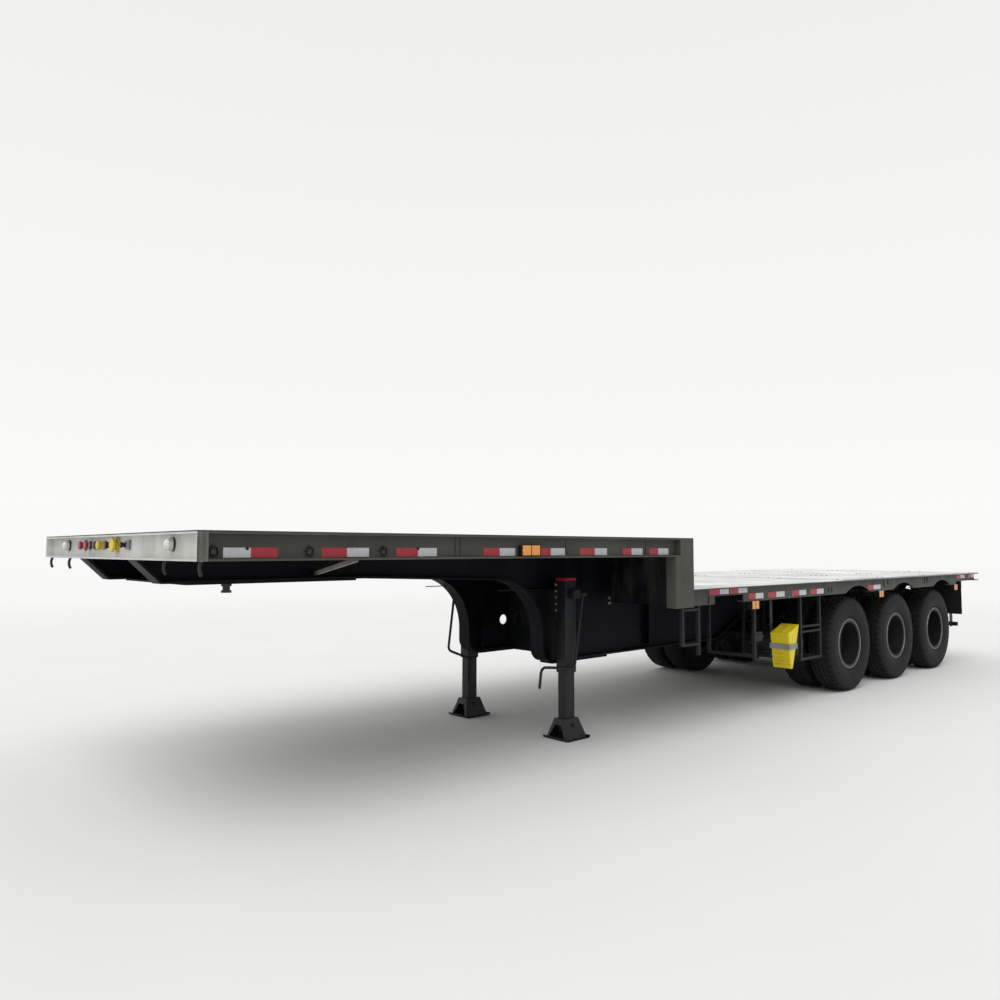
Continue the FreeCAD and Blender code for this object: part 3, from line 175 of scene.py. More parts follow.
def paint(name, base, dust, chip, rough=0.45, dusty=0.35, chips=0.0, spec=0.45, up_dust=0.0,
          zones=(), clean_zones=(), chequer=False):
    """Old paint: slow tone drift, dust in patches and streaks, small chips and grit.

    Zones take another colour under the dust, and clean zones over it.
    """
    mat, nt, bsdf = new_material(name)
    place = coords(nt)
    drift = noise(nt, place, 1.3, 3.0)
    grime = noise(nt, place, 6.0, 6.0, 0.65, stretch=(1.0, 1.0, 0.28))
    fine = noise(nt, place, 90.0, 3.0, 0.7)
    dark = tuple(c * 0.72 for c in base)
    light = tuple(min(1.0, c * 1.22 + 0.004) for c in base)
    tone = mix(nt, ramp(nt, drift, [(0.32, 0.0), (0.68, 1.0)]), dark, light)
    for limits, zone_colour in zones:
        tone = mix(nt, inside(nt, place, limits), tone, zone_colour)
    mask = ramp(nt, grime, [(0.42, 0.0), (0.72, dusty)])
    colour = mix(nt, mask, tone, dust)
    for limits, zone_colour in clean_zones:
        colour = mix(nt, inside(nt, place, limits), colour, zone_colour)
    if up_dust:
        normal = node(nt, "ShaderNodeSeparateXYZ")
        nt.links.new(node(nt, "ShaderNodeTexCoord").outputs["Normal"], normal.inputs[0])
        up = maths(nt, "MULTIPLY", maths(nt, "MAXIMUM", normal.outputs["Z"], 0.0), up_dust)
        colour = mix(nt, up, colour, dust)
    if chips:
        spots = ramp(nt, noise(nt, place, 24.0, 8.0, 0.75), [(0.66, 0.0), (0.70, chips)])
        colour = mix(nt, spots, colour, chip)
    nt.links.new(colour, bsdf.inputs["Base Color"])
    level = ramp(nt, grime, [(0.35, rough * 0.85), (0.75, min(0.95, rough * 1.5))])
    nt.links.new(level, bsdf.inputs["Roughness"])
    bsdf.inputs["Specular IOR Level"].default_value = spec
    grain = mix(nt, 0.4, fine, grime)
    if chequer:
        grain = maths(nt, "ADD", maths(nt, "MULTIPLY", grain, 0.3), chequer_bars(nt, place))
    bump(nt, bsdf, grain, CHEQUER_HEIGHT if chequer else GRIT_HEIGHT)
    return mat


def rubber(name, base, dust):
    """Worn rubber: fine grain under road dust."""
    mat, nt, bsdf = new_material(name)
    place = coords(nt)
    grime = noise(nt, place, 7.0, 6.0, 0.7)
    fine = noise(nt, place, 220.0, 2.0, 0.6)
    colour = mix(nt, ramp(nt, grime, [(0.35, 0.05), (0.75, 0.5)]), base, dust)
    nt.links.new(colour, bsdf.inputs["Base Color"])
    nt.links.new(ramp(nt, grime, [(0.3, 0.62), (0.8, 0.88)]), bsdf.inputs["Roughness"])
    bsdf.inputs["Specular IOR Level"].default_value = 0.22
    bump(nt, bsdf, mix(nt, 0.5, fine, grime), 0.0008)
    return mat


def lens(name, base, deep, glow=0.0, ring=None):
    """Moulded lens with fine prism ribs under a glossy skin. A ring is a dark zone around it."""
    mat, nt, bsdf = new_material(name)
    place = coords(nt)
    wave = node(nt, "ShaderNodeTexWave", wave_type="BANDS", bands_direction="DIAGONAL")
    wave.inputs["Scale"].default_value = 55.0
    wave.inputs["Distortion"].default_value = 0.4
    nt.links.new(place, wave.inputs["Vector"])
    ribs = wave.outputs["Fac"]
    colour = mix(nt, ramp(nt, ribs, [(0.2, 0.0), (0.9, 1.0)]), deep, base)
    if ring:
        colour = mix(nt, inside(nt, place, ring), colour, srgb(26, 26, 26))
    grime = noise(nt, place, 30.0, 4.0)
    nt.links.new(colour, bsdf.inputs["Base Color"])
    nt.links.new(ramp(nt, grime, [(0.3, 0.12), (0.8, 0.37)]), bsdf.inputs["Roughness"])
    bsdf.inputs["Coat Weight"].default_value = 0.6
    if glow:
        nt.links.new(colour, bsdf.inputs["Emission Color"])
        bsdf.inputs["Emission Strength"].default_value = glow
    bump(nt, bsdf, ribs, 0.0009)
    return mat


def metal(name, base, rust, rough, rusty):
    """Bare or plated steel with rust in patches."""
    mat, nt, bsdf = new_material(name)
    place = coords(nt)
    grime = noise(nt, place, 16.0, 7.0, 0.7)
    mask = ramp(nt, grime, [(0.45, 0.0), (0.68, rusty)])
    colour = mix(nt, mask, base, rust)
    nt.links.new(colour, bsdf.inputs["Base Color"])
    nt.links.new(maths(nt, "SUBTRACT", 0.85, mask, clamp=True), bsdf.inputs["Metallic"])
    level = ramp(nt, grime, [(0.3, rough), (0.8, min(0.95, rough + 0.35))])
    nt.links.new(level, bsdf.inputs["Roughness"])
    bump(nt, bsdf, grime, 0.0007)
    return mat


def tape(name, base, deep):
    """Retro-reflective tape: hexagon cells and slight soiling."""
    mat, nt, bsdf = new_material(name)
    place = coords(nt)
    cells = node(nt, "ShaderNodeTexVoronoi", feature="DISTANCE_TO_EDGE")
    cells.inputs["Scale"].default_value = 160.0
    nt.links.new(place, cells.inputs["Vector"])
    grime = noise(nt, place, 18.0, 5.0)
    colour = mix(nt, ramp(nt, cells.outputs["Distance"], [(0.02, 0.0), (0.12, 1.0)]), deep, base)
    colour = mix(nt, ramp(nt, grime, [(0.45, 0.0), (0.8, 0.35)]), colour, deep)
    nt.links.new(colour, bsdf.inputs["Base Color"])
    nt.links.new(ramp(nt, grime, [(0.3, 0.3), (0.8, 0.5)]), bsdf.inputs["Roughness"])
    bump(nt, bsdf, cells.outputs["Distance"], 0.0003)
    return mat


def coupling_metal(name, stops):
    """Couplings in a row: the colour steps at each stop across the trailer, under one wear."""
    mat, nt, bsdf = new_material(name)
    place = coords(nt)
    split = node(nt, "ShaderNodeSeparateXYZ")
    nt.links.new(place, split.inputs[0])
    colour = stops[0][1]
    for edge, one in stops[1:]:
        past = maths(nt, "GREATER_THAN", split.outputs["Y"], edge)
        colour = mix(nt, past, colour, one)
    grime = noise(nt, place, 40.0, 6.0, 0.7)
    colour = mix(nt, ramp(nt, grime, [(0.5, 0.0), (0.72, 0.45)]), colour, srgb(60, 52, 48))
    nt.links.new(colour, bsdf.inputs["Base Color"])
    nt.links.new(ramp(nt, grime, [(0.3, 0.28), (0.75, 0.6)]), bsdf.inputs["Roughness"])
    bump(nt, bsdf, grime, 0.0006)
    return mat


NAVY = srgb(9, 11, 18)
OLIVE = srgb(72, 73, 67)
OLIVE_DUST = srgb(92, 91, 84)
OLIVE_CHIP = srgb(48, 44, 40)
FRAME_DUST = srgb(36, 38, 42)
DECK_DUST = srgb(204, 202, 196)
DECK_CHIP = srgb(150, 142, 130)
CHIP = srgb(60, 52, 46)
RED = srgb(158, 34, 52)
# Zones that take another colour on a CAD node: limits by axis, then the colour
LEG_CAP = ([("Z", 1.3585, 1.40)], RED)
# Pale knee brace: a painted highlight on the crossmember paint
KNEE_BRACE_PAINTED_HIGHLIGHT = ([("Z", 1.40, 1.568), ("X", 4.4, 5.0)], srgb(136, 132, 124))
# Heel plate a little lighter than the navy: a painted sheen where light falls on it
HEEL_PLATE_PAINTED_SHEEN = ([("Z", 0.5, 1.25)], srgb(26, 28, 30))
FRONT_SIDES = ([("Y", 1.4985, 1.6)], OLIVE)
ROPE_HOOKS = ([("Z", 1.40, 1.5685)], srgb(22, 22, 24))
STEP_INSIDE = ([("Y", -1.0, 1.3985)], NAVY)
CHOCK_BAND = ([("Z", 0.603, 0.663), ("X", -0.50, -0.28), ("Y", 1.17, 1.42)], srgb(150, 150, 142))
# Outer flange face of each rim lighter than the recessed disc: a painted highlight
RIM_FLANGE_PAINTED_HIGHLIGHT = ([("Y", 1.316, 1.40)], srgb(58, 60, 62))
# Deck plate under the rear sheets coloured dark: painted shade that shows in the gaps between the
# sheets
UNDER_SHEETS_PAINTED_SHADE = ([("X", -6.0, -1.33), ("Z", 1.29, 1.30)], srgb(40, 40, 38))
LAMP_RING = [("X", 5.70, 5.7365)]
# Colour of each stretch of the row of couplings, by its start across the trailer
COUPLING_STOPS = [
    (-0.70, srgb(140, 30, 42)), (-0.45, srgb(24, 24, 24)), (-0.34, srgb(74, 46, 34)),
    (-0.255, srgb(206, 182, 40)), (-0.15, srgb(28, 28, 28)), (0.0, srgb(212, 188, 44)),
    (0.15, srgb(30, 30, 30)), (0.27, srgb(120, 122, 122)),
]
MAT = {
    "frame": paint("frame_paint_worn", NAVY, FRAME_DUST, CHIP,
                   rough=0.5, dusty=0.45, chips=0.2, spec=0.08),
    # Crossmember paint: dust, chips and grit, with a painted highlight on the knee brace and a
    # painted sheen on the heel plate
    "cross": paint("cross_paint_worn_and_painted_light", NAVY, FRAME_DUST, CHIP,
                   rough=0.5, dusty=0.45, chips=0.2, spec=0.08, zones=[KNEE_BRACE_PAINTED_HIGHLIGHT, HEEL_PLATE_PAINTED_SHEEN]),
    "front": paint("front_paint_worn", srgb(204, 204, 200), srgb(172, 170, 162), srgb(110, 104, 96),
                   rough=0.42, dusty=0.55, chips=0.5, zones=[FRONT_SIDES],
                   clean_zones=[ROPE_HOOKS]),
    "step": paint("step_paint_worn", OLIVE, OLIVE_DUST, OLIVE_CHIP,
                  rough=0.52, dusty=0.4, chips=0.35, spec=0.18, zones=[STEP_INSIDE]),
    "rail": paint("rail_paint_worn", OLIVE, OLIVE_DUST, OLIVE_CHIP,
                  rough=0.52, dusty=0.4, chips=0.35, spec=0.22),
    "deck_dark": paint("deck_plate_dark", srgb(38, 39, 37), srgb(84, 82, 77), srgb(70, 60, 52),
                       rough=0.62, dusty=0.5, chips=0.5, up_dust=0.35, spec=0.25, chequer=True),
    "deck_pale": paint("deck_plate_pale", srgb(232, 232, 228), DECK_DUST, DECK_CHIP,
                       rough=0.5, dusty=0.5, chips=0.4, zones=[UNDER_SHEETS_PAINTED_SHADE]),
    "sheet": paint("deck_sheet_pale", srgb(234, 234, 231), srgb(206, 204, 198), DECK_CHIP,
                   rough=0.45, dusty=0.5, chips=0.45),
    "leg": paint("leg_paint_worn", srgb(24, 27, 31), srgb(58, 58, 56), CHIP,
                 rough=0.42, dusty=0.4, chips=0.3, spec=0.25, zones=[LEG_CAP]),
    "axle": paint("axle_paint_worn", srgb(20, 22, 27), srgb(48, 46, 44), srgb(56, 42, 34),
                  rough=0.58, dusty=0.55, chips=0.4, spec=0.15),
    "rack": paint("rack_paint_worn", srgb(24, 26, 32), srgb(54, 54, 54), CHIP,
                  rough=0.45, dusty=0.45, chips=0.25, spec=0.2, zones=[CHOCK_BAND]),
    "tank": paint("tank_paint_worn", srgb(30, 32, 38), srgb(60, 60, 60), CHIP,
                  rough=0.4, dusty=0.4, chips=0.2, spec=0.25),
    # Rim paint: dust, chips and grit, with a painted highlight on the outer flange face
    "rim": paint("rim_paint_worn_and_painted_highlight", srgb(26, 27, 30), srgb(46, 45, 44), srgb(60, 50, 42),
                 rough=0.5, dusty=0.5, chips=0.4, spec=0.2, zones=[RIM_FLANGE_PAINTED_HIGHLIGHT]),
    "pin": metal("pin_steel_worn", srgb(70, 68, 66), srgb(48, 38, 32), rough=0.4, rusty=0.5),
    "bright": metal("bolt_zinc_worn", srgb(150, 150, 146), srgb(96, 84, 72), rough=0.35, rusty=0.4),
    "spring": paint("spring_paint_worn", srgb(26, 26, 30), srgb(56, 52, 48), srgb(70, 52, 42),
                    rough=0.62, dusty=0.55, chips=0.5, spec=0.15),
    "tyre": rubber("tyre_rubber_worn", srgb(21, 22, 25), srgb(42, 43, 44)),
    "flap": rubber("flap_rubber_worn", srgb(20, 21, 23), srgb(40, 40, 41)),
    "chock": paint("chock_plastic_worn", srgb(212, 192, 16), srgb(184, 164, 40), srgb(96, 88, 36),
                   rough=0.42, dusty=0.35, chips=0.35),
    "amber": lens("amber_lens_ribbed", srgb(240, 164, 56), srgb(196, 108, 26), glow=0.15),
    "clear": lens("clear_lens_ribbed", srgb(236, 236, 232), srgb(196, 196, 192), ring=LAMP_RING),
    "red": lens("red_lens_ribbed", srgb(176, 28, 32), srgb(112, 12, 18)),
    "tape_red": tape("tape_red_cells", srgb(186, 34, 52), srgb(146, 24, 42)),
    "tape_white": tape("tape_white_cells", srgb(214, 216, 218), srgb(172, 174, 178)),
    "coupling": coupling_metal("coupling_paint_worn", COUPLING_STOPS),
    "dark": paint("bracket_paint_dark", srgb(22, 22, 24), srgb(48, 47, 45), CHIP,
                  rough=0.5, dusty=0.4, chips=0.2, spec=0.2),
}
TAPES = ["tape_red", "tape_white"]

NODE_MAT = {
    "main_beam_left": "frame", "main_beam_right": "frame", "coupler_plate": "frame",
    "kingpin": "pin", "front_rail": "front", "upper_side_rails": "rail",
    "upper_deck_plate": "deck_dark", "upper_crossmembers": "cross", "step_bulkhead": "step",
    "lower_side_rail_left": "rail", "lower_side_rail_right": "rail",
    "lower_deck_plate": "deck_pale", "lower_crossmembers": "frame", "rear_rail": "rail",
    "landing_leg_left": "leg", "landing_leg_right": "leg",
    "landing_foot_left": "leg", "landing_foot_right": "leg", "leg_cranks": "leg",
    "axle_front": "axle", "axle_middle": "axle", "axle_rear": "axle",
    "leaf_springs": "spring", "spring_hangers": "axle", "air_tanks": "tank",
    "side_racks": "rack", "wheel_chocks": "chock", "service_couplings": "coupling",
    "side_lamps": "amber", "front_lamps": "clear", "tail_lamps": "red",
    "mudflaps": "flap", "rear_guard": "rack",
}
for name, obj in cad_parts.items():
    key = NODE_MAT.get(name)
    if key is None:
        key = "tyre" if name.startswith("tyres_") else "rim"
    obj.data.materials.clear()
    obj.data.materials.append(MAT[key])


# Mesh helpers
def place_piece(name, bm, mats, body="chassis"):
    mesh = bpy.data.meshes.new(name)
    bm.to_mesh(mesh)
    bm.free()
    for mat in mats:
        mesh.materials.append(MAT[mat])
    obj = bpy.data.objects.new(name, mesh)
    bpy.context.scene.collection.objects.link(obj)
    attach(obj, body)


def add_box(bm, low, high, mat=0, bevel=0.0):
    """Box between two corners, built apart, so that bm's order is the same in every run."""
    own = bmesh.new()
    verts = bmesh.ops.create_cube(own, size=1.0)["verts"]
    centre = [(a + b) / 2 for a, b in zip(low, high)]
    size = [b - a for a, b in zip(low, high)]
    bmesh.ops.scale(own, vec=size, verts=verts)
    bmesh.ops.translate(own, vec=centre, verts=verts)
    if bevel:
        bmesh.ops.bevel(own, geom=own.edges[:], offset=bevel, segments=2, affect="EDGES")
    for face in own.faces:
        face.material_index = mat
    mesh = bpy.data.meshes.new("box")
    own.to_mesh(mesh)
    own.free()
    bm.from_mesh(mesh)
    bpy.data.meshes.remove(mesh)


def side_box(bm, side, ends, faces, heights, mat=0, bevel=0.0):
    """Box on one side: its ends behind the front edge, its faces from the middle, its heights."""
    near, far = sorted((side * faces[0], side * faces[1]))
    add_box(bm, (HALF - ends[1], near, heights[0]), (HALF - ends[0], far, heights[1]), mat, bevel)


def add_tube(bm, points, radius, flat, closed=False, sides=8, mat=0):
    """Round bar along points that lie in one plane, whose normal is flat."""
    flat = Vector(flat)
    rings = []
    count = len(points)
    for index, point in enumerate(points):
        after = points[(index + 1) % count] if closed or index < count - 1 else point
        before = points[index - 1] if closed or index else point
        along = (Vector(after) - Vector(before)).normalized()
        over = along.cross(flat)
        ring = []
        for side in range(sides):
            angle = 2 * math.pi * side / sides
            out = math.cos(angle) * over + math.sin(angle) * flat
            ring.append(bm.verts.new(Vector(point) + radius * out))
        rings.append(ring)
    made = []
    for index in range(count if closed else count - 1):
        low, high = rings[index], rings[(index + 1) % count]
        for side in range(sides):
            after = (side + 1) % sides
            made.append(bm.faces.new((low[side], low[after], high[after], high[side])))
    if not closed:
        made.append(bm.faces.new(rings[0]))
        made.append(bm.faces.new(rings[-1]))
    for face in made:
        face.material_index = mat
    bmesh.ops.recalc_face_normals(bm, faces=made)


def add_stud(bm, foot, along, radius, length, sides=6, mat=0):
    """Bolt head, washer or stud with a chamfered end, which points towards along."""
    along = Vector(along).normalized()
    foot = Vector(foot)
    first = along.orthogonal().normalized()
    second = along.cross(first)
    rings = []
    for reach, share in ((0.0, 1.0), (length * 0.8, 1.0), (length, 0.8)):
        ring = []
        for side in range(sides):
            angle = 2 * math.pi * side / sides
            out = math.cos(angle) * first + math.sin(angle) * second
            ring.append(bm.verts.new(foot + along * reach + radius * share * out))
        rings.append(ring)
    made = [bm.faces.new(rings[0]), bm.faces.new(rings[-1])]
    for low, high in zip(rings, rings[1:]):
        for side in range(sides):
            after = (side + 1) % sides
            made.append(bm.faces.new((low[side], low[after], high[after], high[side])))
    for face in made:
        face.material_index = mat
    bmesh.ops.recalc_face_normals(bm, faces=made)


def at(back, y, z):
    return (HALF - back, y, z)


# Reflective tape
RAIL_FACE = 1.438
TAPE_THICK = 0.0015
# Each row: the strip's lower and upper edge, then its fields: start, end, and red or white
TAPE_ROWS = [
    (1.588, 1.641, [
        (0.160, 0.310, "w"), (0.310, 0.464, "r"), (0.732, 0.897, "r"), (0.897, 1.046, "w"),
        (1.242, 1.404, "r"), (1.404, 1.552, "w"), (1.944, 2.092, "r"), (2.092, 2.236, "w"),
        (2.480, 2.590, "r"), (2.590, 2.738, "w"), (2.900, 3.072, "r"), (3.072, 3.214, "w"),
        (3.405, 3.516, "r"), (3.516, 3.658, "w"), (3.748, 3.868, "r"), (3.868, 4.010, "w")]),
    (1.223, 1.276, [
        (4.612, 4.782, "r"), (4.782, 4.930, "w"), (4.946, 5.096, "r"), (5.096, 5.250, "w")]),
    (1.158, 1.211, [
        (5.275, 5.400, "r"), (5.400, 5.540, "w"), (5.632, 5.790, "r"), (5.790, 5.952, "w"),
        (6.100, 6.254, "r"), (6.254, 6.400, "w"), (6.490, 6.640, "r"), (6.640, 6.790, "w"),
        (7.898, 8.055, "r"), (8.055, 8.250, "w")]),
    (1.219, 1.269, [
        (10.826, 10.984, "r"), (10.984, 11.145, "w"), (11.288, 11.420, "r"),
        (11.420, 11.545, "w")]),
]
TAPE_FACES = (RAIL_FACE, RAIL_FACE + TAPE_THICK)
for word, side in SIDES:
    bm = bmesh.new()
    for low, high, fields in TAPE_ROWS:
        for start, end, colour in fields:
            side_box(bm, side, (start, end), TAPE_FACES, (low, high), "rw".index(colour))
    place_piece("tape_" + word, bm, TAPES)

# Tape on the rear rail: where each field starts across the trailer
REAR_TAPE = [(-1.38, "r"), (-1.08, "w"), (-0.78, "r"), (0.48, "r"), (0.78, "w"), (1.08, "r")]
REAR_FACE = 11.498
REAR_TAPE_LENGTH = 0.15
REAR_TAPE_LOW = 1.196
REAR_TAPE_HIGH = 1.246
bm = bmesh.new()
for start, colour in REAR_TAPE:
    add_box(bm, at(REAR_FACE + TAPE_THICK, start, REAR_TAPE_LOW),
            at(REAR_FACE, start + REAR_TAPE_LENGTH, REAR_TAPE_HIGH), "rw".index(colour))
place_piece("tape_rear", bm, TAPES)

# Tyres: carcass, ribs and shoulder lugs in one skin. Each point: across and radius, and how far it
# sinks in the gaps between the lugs, all in millimetres
TYRE_SKIN = [
    (106.0, 258.0, 0.0), (107.0, 290.0, 0.0), (113.0, 297.0, 0.0), (123.0, 301.0, 0.0),
    (129.0, 314.0, 0.0), (138.0, 348.0, 0.0), (143.5, 392.0, 0.0), (143.5, 430.0, 0.0),
    (140.5, 462.0, 0.0), (138.0, 466.0, 0.0), (138.5, 474.0, 0.0), (136.5, 490.0, 2.0),
    (133.0, 506.0, 6.0), (124.0, 523.0, 10.0), (108.0, 535.0, 12.0), (76.0, 540.0, 12.0),
    (75.5, 529.5, 0.0), (66.5, 529.5, 0.0), (66.0, 541.0, 0.0), (34.0, 542.0, 0.0),
    (33.5, 530.0, 0.0), (25.0, 530.0, 0.0), (24.5, 542.3, 0.0),
]
LUGS = 48
# Where each lug's samples lie in its pitch, and whether the sample is in the gap
LUG_SAMPLES = [(0.0, 0), (0.6, 0), (0.65, 1), (0.95, 1)]
# The ribs nearer the middle than this weave sideways by the wave
RIB_REACH = 76.0
RIB_WAVE = 3.0
# Points of the skin from each bead on that are shaded smooth
SIDEWALL_ROWS = 11
AXLE_BACK = {"front": 7.637, "middle": 8.947, "rear": 10.257}
AXLE_Z = 0.5425
TYRE_PLACES = (1.205, 0.855)
WHEELS = [(place, word, side) for place in AXLE_BACK for word, side in SIDES]


def tyre_skin(verts, faces, smooth, back, y):
    rows = TYRE_SKIN + [(-across, radius, sink) for across, radius, sink in reversed(TYRE_SKIN)]
    first = len(verts)
    columns = 0
    for lug in range(LUGS):
        for share, gap in LUG_SAMPLES:
            angle = 2 * math.pi * (lug + share) / LUGS
            columns += 1
            for index, (across, radius, sink) in enumerate(rows):
                depth = radius - sink * gap
                wave = RIB_WAVE * (1 - 2 * gap) if abs(across) < RIB_REACH else 0.0
                verts.append((HALF - back + depth / 1000 * math.cos(angle),
                              y + (across + wave) / 1000,
                              AXLE_Z + depth / 1000 * math.sin(angle)))
    count = len(rows)
    for column in range(columns):
        here = first + column * count
        there = first + (column + 1) % columns * count
        for row in range(count):
            after = (row + 1) % count
            faces.append((here + row, here + after, there + after, there + row))
            smooth.append(min(row, count - 2 - row) < SIDEWALL_ROWS)


for place, word, side in WHEELS:
    verts, faces, smooth = [], [], []
    for y in TYRE_PLACES:
        tyre_skin(verts, faces, smooth, AXLE_BACK[place], side * y)
    mesh = bpy.data.meshes.new("tyre_pair_%s_%s" % (place, word))
    mesh.from_pydata(verts, [], faces)
    bm = bmesh.new()
    bm.from_mesh(mesh)
    bmesh.ops.recalc_face_normals(bm, faces=bm.faces[:])
    bm.to_mesh(mesh)
    bm.free()
    mesh.materials.append(MAT["tyre"])
    for poly, soft in zip(mesh.polygons, smooth):
        poly.use_smooth = soft
    obj = bpy.data.objects.new(mesh.name, mesh)
    bpy.context.scene.collection.objects.link(obj)
    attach(obj, "wheel_%s_%s" % (place, word))
    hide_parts("tyres_%s_%s" % (place, word))

# Wheel nuts with their washers and studs, and a pale ring along the outer rim's edge, which is a
# painted highlight
NUTS = 10
NUT_CIRCLE = 0.152
DISC_FACE = 1.043
WASHER = 0.006
NUT_LENGTH = 0.020
RIM_HIGHLIGHT_RING = 0.279
RIM_HIGHLIGHT_RING_BAR = 0.0045
RIM_HIGHLIGHT_RING_STEPS = 72
RIM_FACE = 1.3235


def around(place, radius, share):
    """Place behind the front edge and height of a point on a circle round an axle."""
    angle = 2 * math.pi * share
    return AXLE_BACK[place] - radius * math.cos(angle), AXLE_Z + radius * math.sin(angle)


for place, word, side in WHEELS:
    bm = bmesh.new()
    out = (0, side, 0)
    for index in range(NUTS):
        back, z = around(place, NUT_CIRCLE, index / NUTS)
        add_stud(bm, at(back, side * DISC_FACE, z), out, 0.021, WASHER, sides=16)
        add_stud(bm, at(back, side * (DISC_FACE + WASHER), z), out, 0.016, NUT_LENGTH)
        add_stud(bm, at(back, side * (DISC_FACE + WASHER + NUT_LENGTH), z), out, 0.008, 0.014,
                 sides=10)
    # Thin pale ring at the rim's edge: a painted highlight arc
    circle = []
    for step in range(RIM_HIGHLIGHT_RING_STEPS):
        back, z = around(place, RIM_HIGHLIGHT_RING, step / RIM_HIGHLIGHT_RING_STEPS)
        circle.append(at(back, side * RIM_FACE, z))
    add_tube(bm, circle, RIM_HIGHLIGHT_RING_BAR, (0, 1, 0), closed=True, mat=1)
    place_piece("wheel_nuts_%s_%s" % (place, word), bm, ["pin", "bright"],
                body="wheel_%s_%s" % (place, word))

# Tie-down rings on diamond plates, with the small bolts between them
RINGS = [0.107, 0.652, 1.145]
RING_Z = 1.63
RING_PLATE = 0.006
RING_OUT = 0.013
RING_BAR = 0.0045
RING_HALF_WIDTH = 0.021
RING_HALF_HEIGHT = 0.026
RING_DROP = 0.010
# The ring hangs no lower than this from its plate's middle, which flattens its foot
RING_LOWEST = -0.034
STAPLE_HALF = 0.009
STAPLE_OUT = 0.019
DIAMOND = [(0.040, 0.0), (0.0, 0.030), (-0.040, 0.0), (0.0, -0.030)]
DIAMOND_TAPER = 0.9
DIAMOND_BOLTS = (-0.026, 0.026)
RAIL_DOTS = [0.289, 1.405]
RAIL_DOT_Z = 1.636
for word, side in SIDES:
    bm = bmesh.new()
    face = side * RAIL_FACE
    plate_face = face + side * RING_PLATE
    for back in RINGS:
        low = [bm.verts.new(at(back + ds, face, RING_Z + dz)) for ds, dz in DIAMOND]
        high = [bm.verts.new(at(back + ds * DIAMOND_TAPER, plate_face, RING_Z + dz * DIAMOND_TAPER))
                for ds, dz in DIAMOND]
        made = [bm.faces.new(low), bm.faces.new(high)]
        for index in range(4):
            after = (index + 1) % 4
            made.append(bm.faces.new((low[index], low[after], high[after], high[index])))
        bmesh.ops.recalc_face_normals(bm, faces=made)
        for one in made:
            one.material_index = 1
        for ds in DIAMOND_BOLTS:
            add_stud(bm, at(back + ds, plate_face, RING_Z), (0, side, 0), 0.005, 0.004, mat=1)
        ring = []
        for step in range(20):
            angle = 2 * math.pi * step / 20
            drop = max(-RING_HALF_HEIGHT * math.cos(angle) - RING_DROP, RING_LOWEST)
            ring.append(at(back + RING_HALF_WIDTH * math.sin(angle), face + side * RING_OUT,
                           RING_Z + drop))
        add_tube(bm, ring, RING_BAR, (0, 1, 0), closed=True)
        side_box(bm, side, (back - STAPLE_HALF, back + STAPLE_HALF),
                 (RAIL_FACE, RAIL_FACE + STAPLE_OUT), (RING_Z + 0.004, RING_Z + 0.018), bevel=0.002)
    for back in RAIL_DOTS:
        add_stud(bm, at(back, face, RAIL_DOT_Z), (0, side, 0), 0.009, 0.008)
    place_piece("tie_rings_" + word, bm, ["dark", "rail"])

# Seams and stake plates on the side rails: place, half length, low and high edge, and how far
# they stand out
SEAM = 0.0012
STAKE = 0.005
SEAMS = [
    (1.701, 0.003, 1.582, 1.712, SEAM), (1.743, 0.003, 1.582, 1.712, SEAM),
    (2.75, 0.004, 1.60, 1.70, SEAM), (3.70, 0.004, 1.582, 1.712, SEAM),
    (6.80, 0.006, 1.150, 1.272, SEAM), (6.905, 0.010, 1.165, 1.215, STAKE),
    (6.975, 0.010, 1.165, 1.215, STAKE), (8.351, 0.010, 1.180, 1.262, STAKE),
    (8.467, 0.010, 1.200, 1.262, STAKE), (9.63, 0.010, 1.180, 1.262, STAKE),
    (9.72, 0.010, 1.200, 1.262, STAKE), (4.60, 0.007, 1.145, 1.215, STAKE),
]
for word, side in SIDES:
    bm = bmesh.new()
    for back, half, low, high, proud in SEAMS:
        side_box(bm, side, (back - half, back + half), (RAIL_FACE, RAIL_FACE + proud), (low, high),
                 bevel=0.0004)
    place_piece("rail_seams_" + word, bm, ["dark"])

# Sheets on the rear of the low deck: cross joints behind the front edge, then joints across
SHEET_BACKS = [7.105, 8.29, 9.60, 10.90, 11.47]
SHEET_SIDES = [-1.485, -0.40, 0.64, 1.485]
SHEET_GAP = 0.013
SHEET_LOW = 1.292
SHEET_TOP = SHEET_LOW + 0.004
BOLT_IN_X = 0.05
BOLT_IN_Y = 0.06
bm = bmesh.new()
for start, end in zip(SHEET_BACKS, SHEET_BACKS[1:]):
    for right, left in zip(SHEET_SIDES, SHEET_SIDES[1:]):
        x0, x1 = HALF - end + SHEET_GAP, HALF - start - SHEET_GAP
        y0, y1 = right + SHEET_GAP, left - SHEET_GAP
        add_box(bm, (x0, y0, SHEET_LOW), (x1, y1, SHEET_TOP), bevel=0.001)
        for x in (x0 + BOLT_IN_X, x1 - BOLT_IN_X):
            for y in (y0 + BOLT_IN_Y, y1 - BOLT_IN_Y):
                add_stud(bm, (x, y, SHEET_TOP), (0, 0, 1), 0.011, 0.004, sides=10, mat=1)
place_piece("deck_sheets", bm, ["sheet", "dark"])

# Bolts that hold each landing leg's plate to its beam, with washers
LEG_BOLT_BACK = 3.490
LEG_BOLT_FACE = 0.609
LEG_BOLT_WASHER = 0.003
LEG_BOLT_LOW = 1.100
LEG_BOLT_PITCH = 0.056
for word, side in SIDES:
    bm = bmesh.new()
    for step in range(5):
        z = LEG_BOLT_LOW + LEG_BOLT_PITCH * step
        add_stud(bm, at(LEG_BOLT_BACK, side * LEG_BOLT_FACE, z), (0, side, 0), 0.013,
                 LEG_BOLT_WASHER, sides=14)
        add_stud(bm, at(LEG_BOLT_BACK, side * (LEG_BOLT_FACE + LEG_BOLT_WASHER), z),
                 (0, side, 0), 0.010, 0.009)
    place_piece("leg_bolts_" + word, bm, ["bright"])

